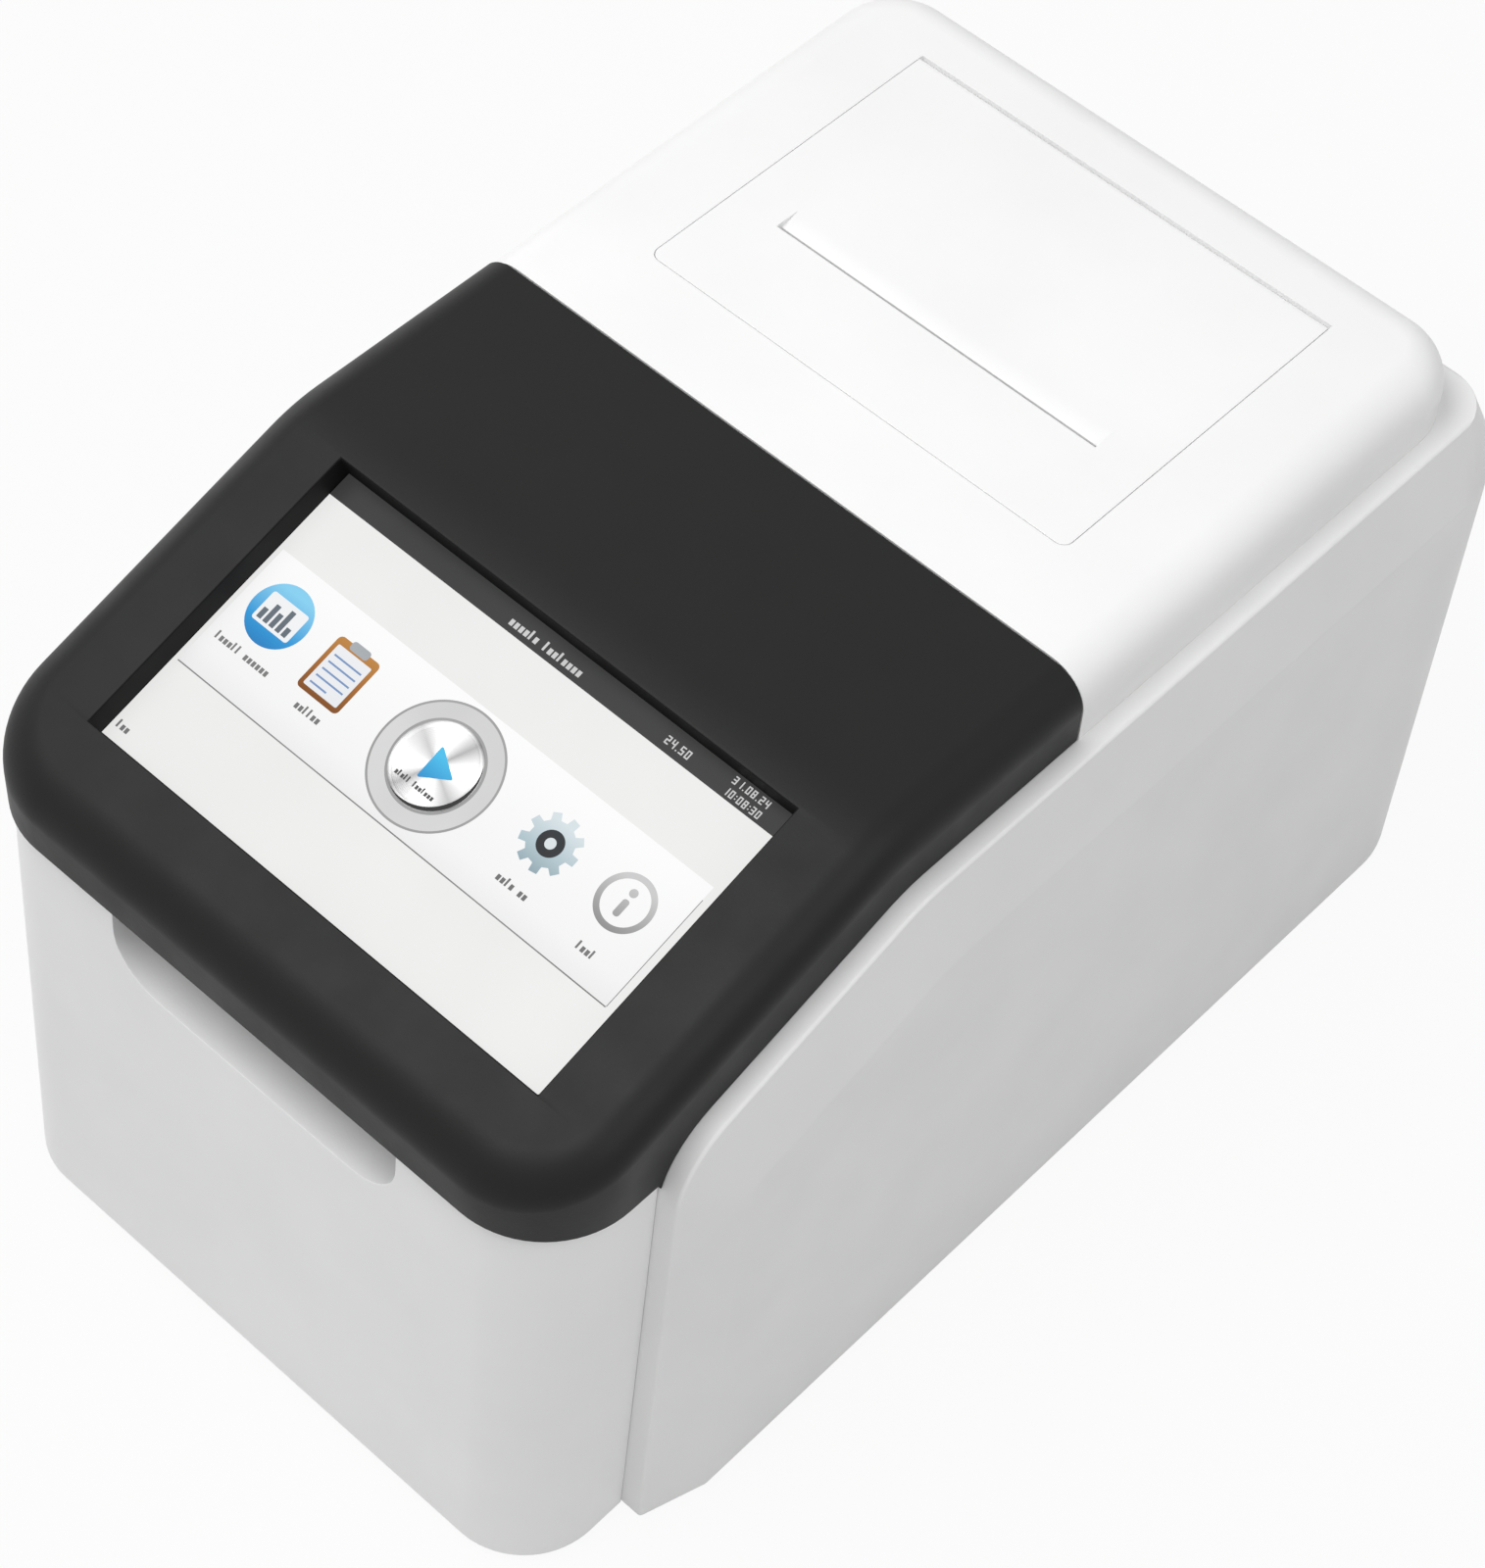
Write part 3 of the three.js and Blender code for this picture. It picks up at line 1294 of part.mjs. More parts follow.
function makePrinterFrame() {
  const outer = frameInner + sheet;
  const low = tubFloorZ + seat;
  const sides = [-1, 1].map((side) => block(handed(side, frameInner, outer),
    [frameFront, frameRear], [low, frameTop]));
  const frontWeb = block([-outer, outer], [frameFront, frameFront + sheet],
    [frameTop - frameWeb, frameTop]);
  const shaftBore = rod('x', platen.shaft + seam, [platen.y, platen.z], -half, half, 16);
  const pinionBore = rod('x', pinionShaft + shaftPlay, [platen.y, pinionZ], 0, half, 16);
  piece(printer, 'printer_frame', cut(joined(...sides, frontWeb), shaftBore, pinionBore), steel);
  piece(printer, 'thermal_head', block([-platen.half + sheet, platen.half - sheet],
    [frameFront + sheet + seat, slotY - headClear],
    [platen.z + headRise - headHeight, platen.z + headRise]), darkPlastic);
}

// One side of an involute tooth, as points [radius, angle from the tooth's middle]
function toothOutline(teeth) {
  const pressure = degrees(20);
  const pitch = gearModule * teeth / 2;
  const base = pitch * Math.cos(pressure);
  const tip = pitch + gearModule;
  const root = pitch - gearModule * 1.25;
  const involute = (radius) => {
    const roll = Math.sqrt(Math.max((radius / base) ** 2 - 1, 0));
    return roll - Math.atan(roll);
  };
  const halfTooth = Math.PI / 2 / teeth + involute(pitch);
  const start = Math.max(base, root);
  const flank = [0, 1, 2, 3].map((i) => {
    const radius = start + (tip - start) * i / 3;
    return [radius, halfTooth - involute(radius)];
  });
  return root < start ? [[root, halfTooth], ...flank] : flank;
}

function gear(teeth, phase, [y, z], from, to) {
  const side = toothOutline(teeth);
  const outline = [];
  for (let i = 0; i < teeth; i += 1) {
    const middle = phase + i / teeth * Math.PI * 2;
    const rising = side.map(([radius, angle]) => [radius, middle - angle]);
    const falling = side.map(([radius, angle]) => [radius, middle + angle]).reverse();
    outline.push(...rising, ...falling);
  }
  return prism('x', outline.map(([radius, angle]) => (
    [y + radius * Math.cos(angle), z + radius * Math.sin(angle)])), from, to);
}

function makeDrive() {
  const centre = [platen.y, platen.z];
  const pinionCentre = [platen.y, pinionZ];
  const rollerBore = platen.shaft + seat / 2;
  piece(printer, 'platen_roller', ring('x', platen.radius, rollerBore, centre,
    -platen.half, platen.half, 32), rubber);
  const shaftLeft = frameInner + sheet + shaftPlay;
  piece(printer, 'platen_shaft',
    rod('x', platen.shaft, centre, -shaftLeft, gearX + gearWidth, 16), steel);
  const wheel = cut(
    gear(gearTeeth, -quarter, centre, gearX, gearX + gearWidth),
    rod('x', rollerBore, centre, gearX - overrun, gearX + gearWidth + overrun, 16),
  );
  piece(printer, 'platen_gear', wheel, amber);

  const canRight = frameInner - seat;
  piece(printer, 'printer_motor', cut(
    rod('x', motorRadiusSmall, pinionCentre, canRight - motorLengthSmall, canRight, 28),
    rod('x', pinionShaft + seam, pinionCentre, canRight - pinionShaftDepth - slack,
      canRight + overrun, 16),
  ), darkSteel);
  piece(printer, 'printer_pinion', joined(
    gear(pinionTeeth, quarter + Math.PI / pinionTeeth, pinionCentre, gearX, gearX + gearWidth),
    rod('x', pinionShaft, pinionCentre, canRight - pinionShaftDepth, gearX + seat, 16),
  ), brass);
}

function makePaper() {
  const centre = [rollY, rollZ];
  const spindleHalf = tubHalf - sheet;
  piece(printer, 'roll_spindle', rod('x', rollSpindleRadius, centre, -spindleHalf, spindleHalf, 24),
    black);
  piece(printer, 'paper_roll',
    ring('x', paperRadius, rollSpindleRadius + slack, centre, -paperHalf, paperHalf, 48), paper);
}

makeCase();
makeBase();
makeCover();
makeFascia();
makeScreen();
makeDrawerFront();
makeSlides();
makeTray();
makeSpindle();
makeChassis();
makeOptics();
makeLock();
makeBoard();
makePowerSupply();
makeFan();
makeInlet();
makeSwitch();
makePorts();
makeDoor();
makeTub();
makePrinterFrame();
makeDrive();
makePaper();

export default analyzer;
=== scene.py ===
import math

import bmesh
import bpy
from mathutils import Matrix, Vector


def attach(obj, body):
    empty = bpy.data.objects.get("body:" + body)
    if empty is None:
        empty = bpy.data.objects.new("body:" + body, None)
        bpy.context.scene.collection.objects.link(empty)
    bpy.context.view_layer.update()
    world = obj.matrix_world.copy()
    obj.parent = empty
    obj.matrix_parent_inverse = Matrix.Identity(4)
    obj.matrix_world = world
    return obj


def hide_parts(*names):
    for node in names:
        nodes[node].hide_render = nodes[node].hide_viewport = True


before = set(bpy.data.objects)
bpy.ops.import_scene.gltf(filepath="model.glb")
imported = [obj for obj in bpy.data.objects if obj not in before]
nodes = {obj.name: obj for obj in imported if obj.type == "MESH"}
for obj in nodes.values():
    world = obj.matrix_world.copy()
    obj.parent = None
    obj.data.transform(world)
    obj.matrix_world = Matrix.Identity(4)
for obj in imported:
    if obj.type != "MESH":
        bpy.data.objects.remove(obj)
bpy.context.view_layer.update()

MM = 0.001
QUARTER = math.pi / 2
TURN = 2 * math.pi

# Sizes in millimetres, as in the part's source
HALF = 113
FRONT = -187
REAR = 187
HEIGHT = 213
WALL = 3
SEAM = 0.4
SEAT = 0.2
OVERRUN = 5
TONGUE_OVERLAP = 0.8
LEAN = math.tan(math.radians(2.6))
BEND = -69
BEND_RADIUS = 50
LIP_Z = 154
LIP_PROUD = 3
SLOPE_DROP = 37.93
LEDGE_Z = 191
BAND_Z = 164.5
SHELL_FRONT = -151.5
LEDGE_HALF = 107
COVER_HALF = 101.5
OPENING_HALF = 96
LEDGE_REAR = 165
COVER_REAR = 158.5
FASCIA_FRONT = FRONT + LEAN * LIP_Z - LIP_PROUD
RISE = SLOPE_DROP / (BEND - FASCIA_FRONT)
TILT = math.atan(RISE)

# Fineness of the meshes; the distance is in metres
MERGE_DISTANCE = 1e-6
NORMAL_WEIGHT = 80
ARC_STEPS = 18
BEND_STEPS = 6


# Shapes: outlines and rings are in millimetres, meshes in metres
def made(name, points, faces):
    mesh = bpy.data.meshes.new(name)
    mesh.from_pydata([Vector(p) * MM for p in points], [], faces)
    shape = bmesh.new()
    shape.from_mesh(mesh)
    bmesh.ops.recalc_face_normals(shape, faces=shape.faces)
    shape.to_mesh(mesh)
    shape.free()
    piece = bpy.data.objects.new(name, mesh)
    bpy.context.scene.collection.objects.link(piece)
    return piece


def rounded(points, steps):
    """An outline from (u, v) or (u, v, radius) corners, each radius drawn as an arc."""
    outline = []
    for i, point in enumerate(points):
        u, v, radius = (*point, 0)[:3]
        if not radius:
            outline.append((u, v))
            continue
        corner = Vector((u, v))
        before = points[i - 1]
        after = points[(i + 1) % len(points)]
        back = Vector(before[:2]) - corner
        on = Vector(after[:2]) - corner
        room = min(back.length, on.length) / 2
        back.normalize()
        on.normalize()
        half_angle = math.acos(max(-1, min(1, back.dot(on)))) / 2
        reach = min(radius / math.tan(half_angle), room)
        bend = reach * math.tan(half_angle)
        centre = (back + on).normalized() * (bend / math.sin(half_angle))
        first = back * reach - centre
        last = on * reach - centre
        start = math.atan2(first.y, first.x)
        turn = math.atan2(last.y, last.x) - start
        turn = math.atan2(math.sin(turn), math.cos(turn))
        for k in range(steps + 1):
            angle = start + turn * k / steps
            outline.append((
                u + centre.x + bend * math.cos(angle),
                v + centre.y + bend * math.sin(angle),
            ))
    return outline


def loft(name, rings, strips=False):
    """Joins rings of equally many points. Each end is one face, or strips across a mirrored ring."""
    count = len(rings[0])
    faces = []
    for r in range(len(rings) - 1):
        for i in range(count):
            a = r * count + i
            b = r * count + (i + 1) % count
            faces.append((a, b, b + count, a + count))
    last = (len(rings) - 1) * count
    if strips:
        for i in range(count // 2 - 1):
            strip = (i, i + 1, count - 2 - i, count - 1 - i)
            faces.append(strip[::-1])
            faces.append(tuple(last + k for k in strip))
    else:
        faces.append(tuple(range(count))[::-1])
        faces.append(tuple(range(last, last + count)))
    return made(name, [p for ring in rings for p in ring], faces)


AXES = {
    "x": lambda u, v, w: (w, u, v),
    "y": lambda u, v, w: (v, w, u),
    "z": lambda u, v, w: (u, v, w),
}


def prism(name, axis, outline, low, high):
    at = AXES[axis]
    return loft(name, [[at(u, v, w) for u, v in outline] for w in (low, high)])


def block(name, x, y, z, frame_matrix=None):
    outline = [(x[0], y[0]), (x[1], y[0]), (x[1], y[1]), (x[0], y[1])]
    rings = [[(u, v, w) for u, v in outline] for w in z]
    if frame_matrix:
        rings = [[tuple(frame_matrix @ Vector(p)) for p in ring] for ring in rings]
    return loft(name, rings)


def rod(name, radius, centre, low, high, sides):
    """A round bar along x; its centre is given as (y, z)."""
    outline = []
    for i in range(sides):
        angle = TURN * i / sides
        outline.append((centre[0] + radius * math.cos(angle), centre[1] + radius * math.sin(angle)))
    return prism(name, "x", outline, low, high)


def rectangle(u, v, radius, steps):
    return rounded([(u[0], v[0], radius), (u[1], v[0], radius), (u[1], v[1], radius),
                    (u[0], v[1], radius)], steps)


def mirrored(right, z):
    """A closed ring at one height from the points of its right half."""
    return [(x, y, z) for x, y in right] + [(-x, y, z) for x, y in reversed(right)]


def handed(side, near, far):
    return (near, far) if side > 0 else (-far, -near)


def settled(piece):
    """Applies the piece's modifiers to its mesh."""
    graph = bpy.context.evaluated_depsgraph_get()
    mesh = bpy.data.meshes.new_from_object(piece.evaluated_get(graph))
    old = piece.data
    piece.modifiers.clear()
    piece.data = mesh
    bpy.data.meshes.remove(old)
    return piece


def combined(operation, piece, *others):
    for other in others:
        change = piece.modifiers.new(operation, "BOOLEAN")
        change.operation = operation
        change.solver = "EXACT"
        change.object = other
        settled(piece)
        bpy.data.objects.remove(other)
    return piece


def cut(piece, *tools):
    return combined("DIFFERENCE", piece, *tools)


def joined(piece, *others):
    return combined("UNION", piece, *others)


def softened(piece, width, angle, segments=2):
    """Rounds the edges that are sharper than an angle in degrees."""
    bevel = piece.modifiers.new("edge", "BEVEL")
    bevel.width = width * MM
    bevel.segments = segments
    bevel.limit_method = "ANGLE"
    bevel.angle_limit = math.radians(angle)
    bevel.use_clamp_overlap = False
    return settled(piece)


def shaded(piece):
    """Smooth shading, with flat faces kept flat by weighted normals."""
    shape = bmesh.new()
    shape.from_mesh(piece.data)
    bmesh.ops.remove_doubles(shape, verts=shape.verts, dist=MERGE_DISTANCE)
    for face in shape.faces:
        face.smooth = True
    shape.to_mesh(piece.data)
    shape.free()
    normals = piece.modifiers.new("normals", "WEIGHTED_NORMAL")
    normals.weight = NORMAL_WEIGHT
    return settled(piece)


def dress(piece, material, body, *replaced):
    piece.data.materials.clear()
    piece.data.materials.append(material)
    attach(piece, body)
    if replaced:
        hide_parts(*replaced)


# Materials
def linear(code):
    channels = [int(code[i:i + 2], 16) / 255 for i in (0, 2, 4)]
    return [c / 12.92 if c <= 0.04045 else ((c + 0.055) / 1.055) ** 2.4 for c in channels] + [1]


def scaled(colour, factor):
    return [min(1, c * factor) for c in colour[:3]] + [1]


class Shader:
    def __init__(self, name):
        self.material = bpy.data.materials.new(name)
        self.material.use_nodes = True
        self.tree = self.material.node_tree
        self.base = self.tree.nodes["Principled BSDF"]
        self.coords = self.node("TexCoord").outputs["Object"]

    def node(self, kind, **settings):
        made_node = self.tree.nodes.new("ShaderNode" + kind)
        for key, value in settings.items():
            setattr(made_node, key, value)
        return made_node

    def link(self, source, target):
        self.tree.links.new(source, target)

    def noise(self, scale, detail=3, roughness=0.5, stretch=None):
        texture = self.node("TexNoise")
        texture.inputs["Scale"].default_value = scale
        texture.inputs["Detail"].default_value = detail
        texture.inputs["Roughness"].default_value = roughness
        source = self.coords
        if stretch:
            mapping = self.node("Mapping")
            mapping.inputs["Scale"].default_value = stretch
            self.link(source, mapping.inputs["Vector"])
            source = mapping.outputs["Vector"]
        self.link(source, texture.inputs["Vector"])
        return texture.outputs["Fac"]

    def ranged(self, source, low, high, start=0.3, end=0.7):
        """Maps start to end, the usual span of a noise, onto low to high."""
        mapped = self.node("MapRange")
        for key, value in (("From Min", start), ("From Max", end), ("To Min", low), ("To Max", high)):
            mapped.inputs[key].default_value = value
        self.link(source, mapped.inputs["Value"])
        return mapped.outputs["Result"]

    def along_y(self, start, end):
        """0 to 1 between two places along y, in millimetres."""
        split = self.node("SeparateXYZ")
        self.link(self.coords, split.inputs[0])
        return self.ranged(split.outputs["Y"], 0, 1, start * MM, end * MM)

    def ramped(self, source, stops):
        ramp = self.node("ValToRGB")
        self.link(source, ramp.inputs[0])
        colours = ramp.color_ramp.elements
        while len(colours) < len(stops):
            colours.new(0.5)
        for element, (place, code) in zip(colours, stops):
            element.position = place
            element.color = linear(code)
        return ramp.outputs[0]

    def mixed(self, factor, first, second):
        mix = self.node("Mix", data_type="RGBA")
        self.link(factor, mix.inputs[0])
        for socket, value in ((mix.inputs[6], first), (mix.inputs[7], second)):
            if isinstance(value, list):
                socket.default_value = value
            else:
                self.link(value, socket)
        return mix.outputs[2]

    def bump(self, source, depth):
        """Relief from a texture, with its full height in millimetres."""
        bump = self.node("Bump")
        bump.inputs["Strength"].default_value = 1
        bump.inputs["Distance"].default_value = depth * MM
        self.link(source, bump.inputs["Height"])
        self.link(bump.outputs["Normal"], self.base.inputs["Normal"])

    def colour(self, tint):
        self.link(tint, self.base.inputs["Base Color"])

    def gloss(self, roughness):
        self.link(roughness, self.base.inputs["Roughness"])

    def set(self, **values):
        for key, value in values.items():
            self.base.inputs[key.replace("_", " ")].default_value = value


# Moulded plastic: change of tone, and which edges are made lighter and how much, as rubbed wear and as a
# painted highlight
DRIFT = 0.02
RUB_AND_HIGHLIGHT_SPAN = (0.51, 0.62)
RUB_AND_HIGHLIGHT_GAIN = 1.5
ROUGH_DRIFT = 0.05
GRAIN_SCALE = 1000


def moulded(name, code, rough, grain=0.7, depth=0.03, wear_and_highlight=0.25, specular=0.5, deep=None):
    """Moulded plastic: fine etched grain, faint cloudiness and sharp edges a little lighter, partly rubbed
    wear and partly a painted highlight.

    With deep, a colour and two places along y in millimetres, it turns to that colour between them."""
    shader = Shader(name)
    colour = linear(code)
    cloud = shader.noise(scale=18, detail=4)
    tint = shader.mixed(shader.ranged(cloud, 0, 1), scaled(colour, 1 - DRIFT), scaled(colour, 1 + DRIFT))
    edge = shader.node("NewGeometry").outputs["Pointiness"]
    # Sharp edges made lighter: rubbed wear and a painted highlight
    rubbed_and_highlit = shader.ranged(edge, 0, wear_and_highlight, *RUB_AND_HIGHLIGHT_SPAN)
    tint = shader.mixed(rubbed_and_highlit, tint, scaled(colour, RUB_AND_HIGHLIGHT_GAIN))
    # The turn to the deep colour is painted shade, darker deeper into the finger pocket
    if deep:
        shade_code, start, end = deep
        tint = shader.mixed(shader.along_y(start, end), tint, linear(shade_code))
    shader.colour(tint)
    smear = shader.noise(scale=60)
    shader.gloss(shader.ranged(smear, rough - ROUGH_DRIFT, rough + ROUGH_DRIFT))
    etched = shader.noise(scale=GRAIN_SCALE / grain, detail=2, roughness=0.6)
    shader.bump(etched, depth)
    shader.set(Specular_IOR_Level=specular)
    return shader.material


def brushed(name, code, rough, along):
    """Rolled or turned metal: streaks drawn out along one axis, with small changes of gloss."""
    shader = Shader(name)
    colour = linear(code)
    drawn_out = 0.05
    stretch = tuple(drawn_out if axis == along else 1 for axis in "xyz")
    streak = shader.noise(scale=900, roughness=0.6, stretch=stretch)
    blotch = shader.noise(scale=35, detail=4)
    shader.colour(shader.mixed(shader.ranged(blotch, 0, 1), scaled(colour, 0.9), scaled(colour, 1.06)))
    shader.gloss(shader.ranged(streak, rough - 0.08, rough + 0.1))
    shader.bump(streak, depth=0.01)
    shader.set(Metallic=1)
    return shader.material


# Painted shade in the finger pocket: a plastic a little darker than the drawer's, turning to this colour
# between these places along y, deeper under the lip
POCKET_SHADE = ("b4b4b4", -181, -169)
case_plastic = moulded("case_grey_plastic", "efefef", 0.5, depth=0.02)
drawer_plastic = moulded("drawer_plastic", "f3f3f3", 0.5, depth=0.02)
pocket_shaded_plastic = moulded("pocket_shaded_plastic", "e8e8e8", 0.6, wear_and_highlight=0, deep=POCKET_SHADE)
cover_plastic = moulded("cover_white_plastic", "f2f2f2", 0.34, depth=0.012)
fascia_plastic = moulded("fascia_black_plastic", "1c1c1c", 0.45, wear_and_highlight=0.2, specular=0.16)
# Inside the window: a slightly darker black as painted shade on its walls, with less gloss
recess_shaded_plastic = moulded("recess_shaded_black_plastic", "161616", 0.6, depth=0.02, wear_and_highlight=0.1, specular=0.08)
tray_plastic = moulded("tray_white_plastic", "eaeaea", 0.5, depth=0.02)
dark_plastic = moulded("dark_plastic", "24262a", 0.55, grain=0.9, depth=0.04)
knob_plastic = moulded("rocker_plastic", "1b1b1b", 0.35, grain=0.5, depth=0.01)
gear_plastic = moulded("acetal_plastic", "e3dcc4", 0.4, depth=0.01)
rubber_mat = moulded("rubber", "1a1a1a", 0.8, grain=0.5, wear_and_highlight=0.1, specular=0.3)
steel_mat = brushed("zinc_steel", "b9bcc0", 0.36, "y")
dark_steel = brushed("dark_steel", "75787c", 0.45, "x")
brass_mat = brushed("brass", "c9a552", 0.32, "x")


def tracked_board():
    """Solder mask over copper tracks: a brick pattern of lighter lines and a slight relief."""
    shader = Shader("circuit_board")
    tracks = shader.node("TexBrick")
    for key, value in (("Scale", 160), ("Mortar Size", 0.03), ("Brick Width", 0.9), ("Row Height", 0.22)):
        tracks.inputs[key].default_value = value
    for key, code in (("Color1", "1c5a34"), ("Color2", "206339"), ("Mortar", "3f8a55")):
        tracks.inputs[key].default_value = linear(code)
    shader.link(shader.coords, tracks.inputs["Vector"])
    cloud = shader.noise(scale=50)
    shader.colour(shader.mixed(shader.ranged(cloud, 0, 0.25), tracks.outputs["Color"], linear("123f25")))
    shader.gloss(shader.ranged(cloud, 0.3, 0.45))
    shader.bump(tracks.outputs["Fac"], depth=0.03)
    return shader.material


def paper_stock():
    """Thermal paper: soft fibres, a little uneven in tone."""
    shader = Shader("thermal_paper")
    fibre = shader.noise(scale=700, detail=4, roughness=0.7, stretch=(0.3, 1, 1))
    shader.colour(shader.mixed(shader.ranged(fibre, 0, 1), linear("f2f0e8"), linear("fbfaf5")))
    shader.gloss(shader.ranged(fibre, 0.7, 0.85))
    shader.bump(fibre, depth=0.02)
    return shader.material


def dark_glass():
    """Coated glass with faint smears left by fingers."""
    shader = Shader("touch_glass_coated")
    smear = shader.noise(scale=45, detail=5, roughness=0.65)
    shader.colour(shader.mixed(shader.ranged(smear, 0, 1), linear("111317"), linear("17191e")))
    shader.gloss(shader.ranged(smear, 0.05, 0.16))
    return shader.material


FINISHES = {
    case_plastic: ["case_shell"],
    cover_plastic: ["top_cover", "printer_door"],
    drawer_plastic: ["drawer_front"],
    fascia_plastic: ["front_fascia", "fan_rotor", "roll_spindle"],
    tray_plastic: ["drawer_tray"],
    dark_plastic: [
        "detector_module", "lamp_module", "heat_sink", "fan_frame", "power_inlet", "switch_bezel",
        "printer_tub", "thermal_head",
    ],
    knob_plastic: ["switch_rocker"],
    gear_plastic: ["spindle_turntable", "platen_gear"],
    rubber_mat: ["foot_front_left", "foot_front_right", "foot_rear_left", "foot_rear_right",
                 "platen_roller"],
    steel_mat: [
        "slide_channel_left", "slide_channel_right", "slide_bar_left", "slide_bar_right",
        "chassis_plate_left", "chassis_plate_right", "optics_deck", "lock_plunger", "screen_module",
        "power_supply", "usb_port_left", "usb_port_right", "network_port", "port_bracket",
        "printer_frame", "platen_shaft", "base_screw_front_left", "base_screw_front_right",
        "base_screw_rear_left", "base_screw_rear_right",
    ],
    dark_steel: ["base_plate", "spindle_motor", "screen_bracket", "lock_solenoid", "printer_motor"],
    brass_mat: ["printer_pinion"],
    tracked_board(): ["main_board", "port_board"],
    paper_stock(): ["paper_roll"],
    dark_glass(): ["touch_glass", "detector_lens"],
}
for finish, names in FINISHES.items():
    for node_name in names:
        materials = nodes[node_name].data.materials
        materials.clear()
        materials.append(finish)


# Heights of the fascia
BEND_REACH = BEND_RADIUS * math.tan(TILT / 2)
BEND_STATIONS = [
    BEND + BEND_REACH - BEND_RADIUS * math.sin(TILT * i / BEND_STEPS) for i in range(BEND_STEPS + 1)
]


def slope_z(y):
    return HEIGHT - RISE * (BEND - y)


def fascia_top(y):
    start = BEND + BEND_REACH
    if y >= start:
        return HEIGHT
    if y <= start - BEND_RADIUS * math.sin(TILT):
        return slope_z(y)
    return HEIGHT - BEND_RADIUS + math.sqrt(BEND_RADIUS ** 2 - (start - y) ** 2)


def pillow(name, half_width, flat_y, round_y, corner, edge, top_at, bottom, stations=()):
    """A lid with one straight end, two round corners and a rounded upper edge."""
    edge_steps = 14
    toward = 1 if round_y > flat_y else -1

    def ring(inset, height_at):
        radius = corner - inset
        right = [(half_width - inset, y) for y in (flat_y, *stations)]
        for i in range(ARC_STEPS + 1):
            angle = QUARTER * i / ARC_STEPS
            right.append((
                half_width - corner + radius * math.cos(angle),
                round_y - toward * (corner - radius * math.sin(angle)),
            ))
        left = [(-x, y) for x, y in reversed(right)]
        return [(x, y, height_at(y)) for x, y in right + left]

    rings = [ring(0, lambda y: bottom)]
    for i in range(edge_steps + 1):
        angle = QUARTER * i / edge_steps
        drop = edge * (1 - math.sin(angle))
        rings.append(ring(edge * (1 - math.cos(angle)), lambda y, d=drop: top_at(y) - d))
    return loft(name, rings, strips=True)


COVER_CORNER = 20
COVER_EDGE = 12
FASCIA_CORNER = 28
FASCIA_EDGE = 10.5


def cover_form(inset, flat_y, low):
    return pillow("cover_form", COVER_HALF - inset, flat_y, COVER_REAR - inset, COVER_CORNER - inset,
                  COVER_EDGE - inset, lambda y: HEIGHT - inset, low)


def fascia_form(inset, flat_y, low):
    return pillow("fascia_form", COVER_HALF - inset, flat_y, FASCIA_FRONT + inset,
                  FASCIA_CORNER - inset, FASCIA_EDGE - inset, lambda y: fascia_top(y) - inset, low,
                  BEND_STATIONS)


# Side outlines of the case: its ledge and its lower, wider face
SKIRT_DROP = 24.1
LEDGE_CORNER = 24
FACE_SETBACK = 19.5
FACE_DROP = 53
FACE_CORNER = 9
FACE_CHAMFER = 6
TOP_BEND = 40
SIDE_STEPS = 10


def side_outline(front, top, drop, rear, corner, low):
    corner_z = (slope_z(front) - drop) / (1 - RISE * LEAN)
    bend = BEND + (top - HEIGHT + drop) / RISE
    return rounded([
        (front + LEAN * low, low), (front + LEAN * corner_z, corner_z, corner), (bend, top, TOP_BEND),
        *rear,
    ], SIDE_STEPS)


def ledge_outline(inset, low):
    rear = REAR - inset
    return side_outline(SHELL_FRONT + inset, LEDGE_Z - inset, SKIRT_DROP + inset, [
        (LEDGE_REAR - inset, LEDGE_Z - inset), (rear, BAND_Z - inset / 2), (rear, low),
    ], LEDGE_CORNER, low)


def side_face_outline(inset, low):
    rear = REAR - inset
    return side_outline(SHELL_FRONT + FACE_SETBACK + inset, BAND_Z - inset / 2, FACE_DROP + inset / 2, [
        (rear - FACE_CHAMFER, BAND_Z - inset / 2), (rear, BAND_Z - FACE_CHAMFER), (rear, low),
    ], FACE_CORNER, low)


def rear_corner_ring(half_width, rear, radius, z):
    """A ring with round rear corners whose ends run on a little, so that it cuts cleanly."""
    steps = 16
    arc = []
    for i in range(steps + 1):
        angle = QUARTER * i / steps
        arc.append((half_width - radius + radius * math.cos(angle),
                    rear - radius + radius * math.sin(angle)))
    run_out = 3
    first = tuple(a + (a - b) * run_out for a, b in zip(arc[0], arc[1]))
    last = tuple(a + (a - b) * run_out for a, b in zip(arc[-1], arc[-2]))
    return mirrored([(first[0], FRONT - OVERRUN), first, *arc[1:-1], last], z)


CASE_CORNER = 36
LEDGE_REAR_CORNER = 14


def case_form(inset, low):
    """The case's outer form, its creases softened, or with an inset its inside."""
    face = side_face_outline(inset, low)
    ledge = ledge_outline(inset, low)
    sides = loft("case_form", [[(x, y, z) for y, z in outline] for x, outline in (
        (-HALF + inset, face), (-LEDGE_HALF + inset, ledge),
        (LEDGE_HALF - inset, ledge), (HALF - inset, face),
    )])
    if inset == 0:
        softened(sides, width=0.9, angle=10.5, segments=3)
    wide = (HALF - inset, REAR - inset, CASE_CORNER - inset)
    narrow = (LEDGE_HALF - inset, LEDGE_REAR - inset, LEDGE_REAR_CORNER - inset)
    corners = loft("corner_form", [
        rear_corner_ring(*wide, low - OVERRUN), rear_corner_ring(*wide, BAND_Z - inset / 2),
        rear_corner_ring(*narrow, LEDGE_Z - inset), rear_corner_ring(*narrow, LEDGE_Z + OVERRUN),
    ], strips=True)
    return combined("INTERSECT", sides, corners)


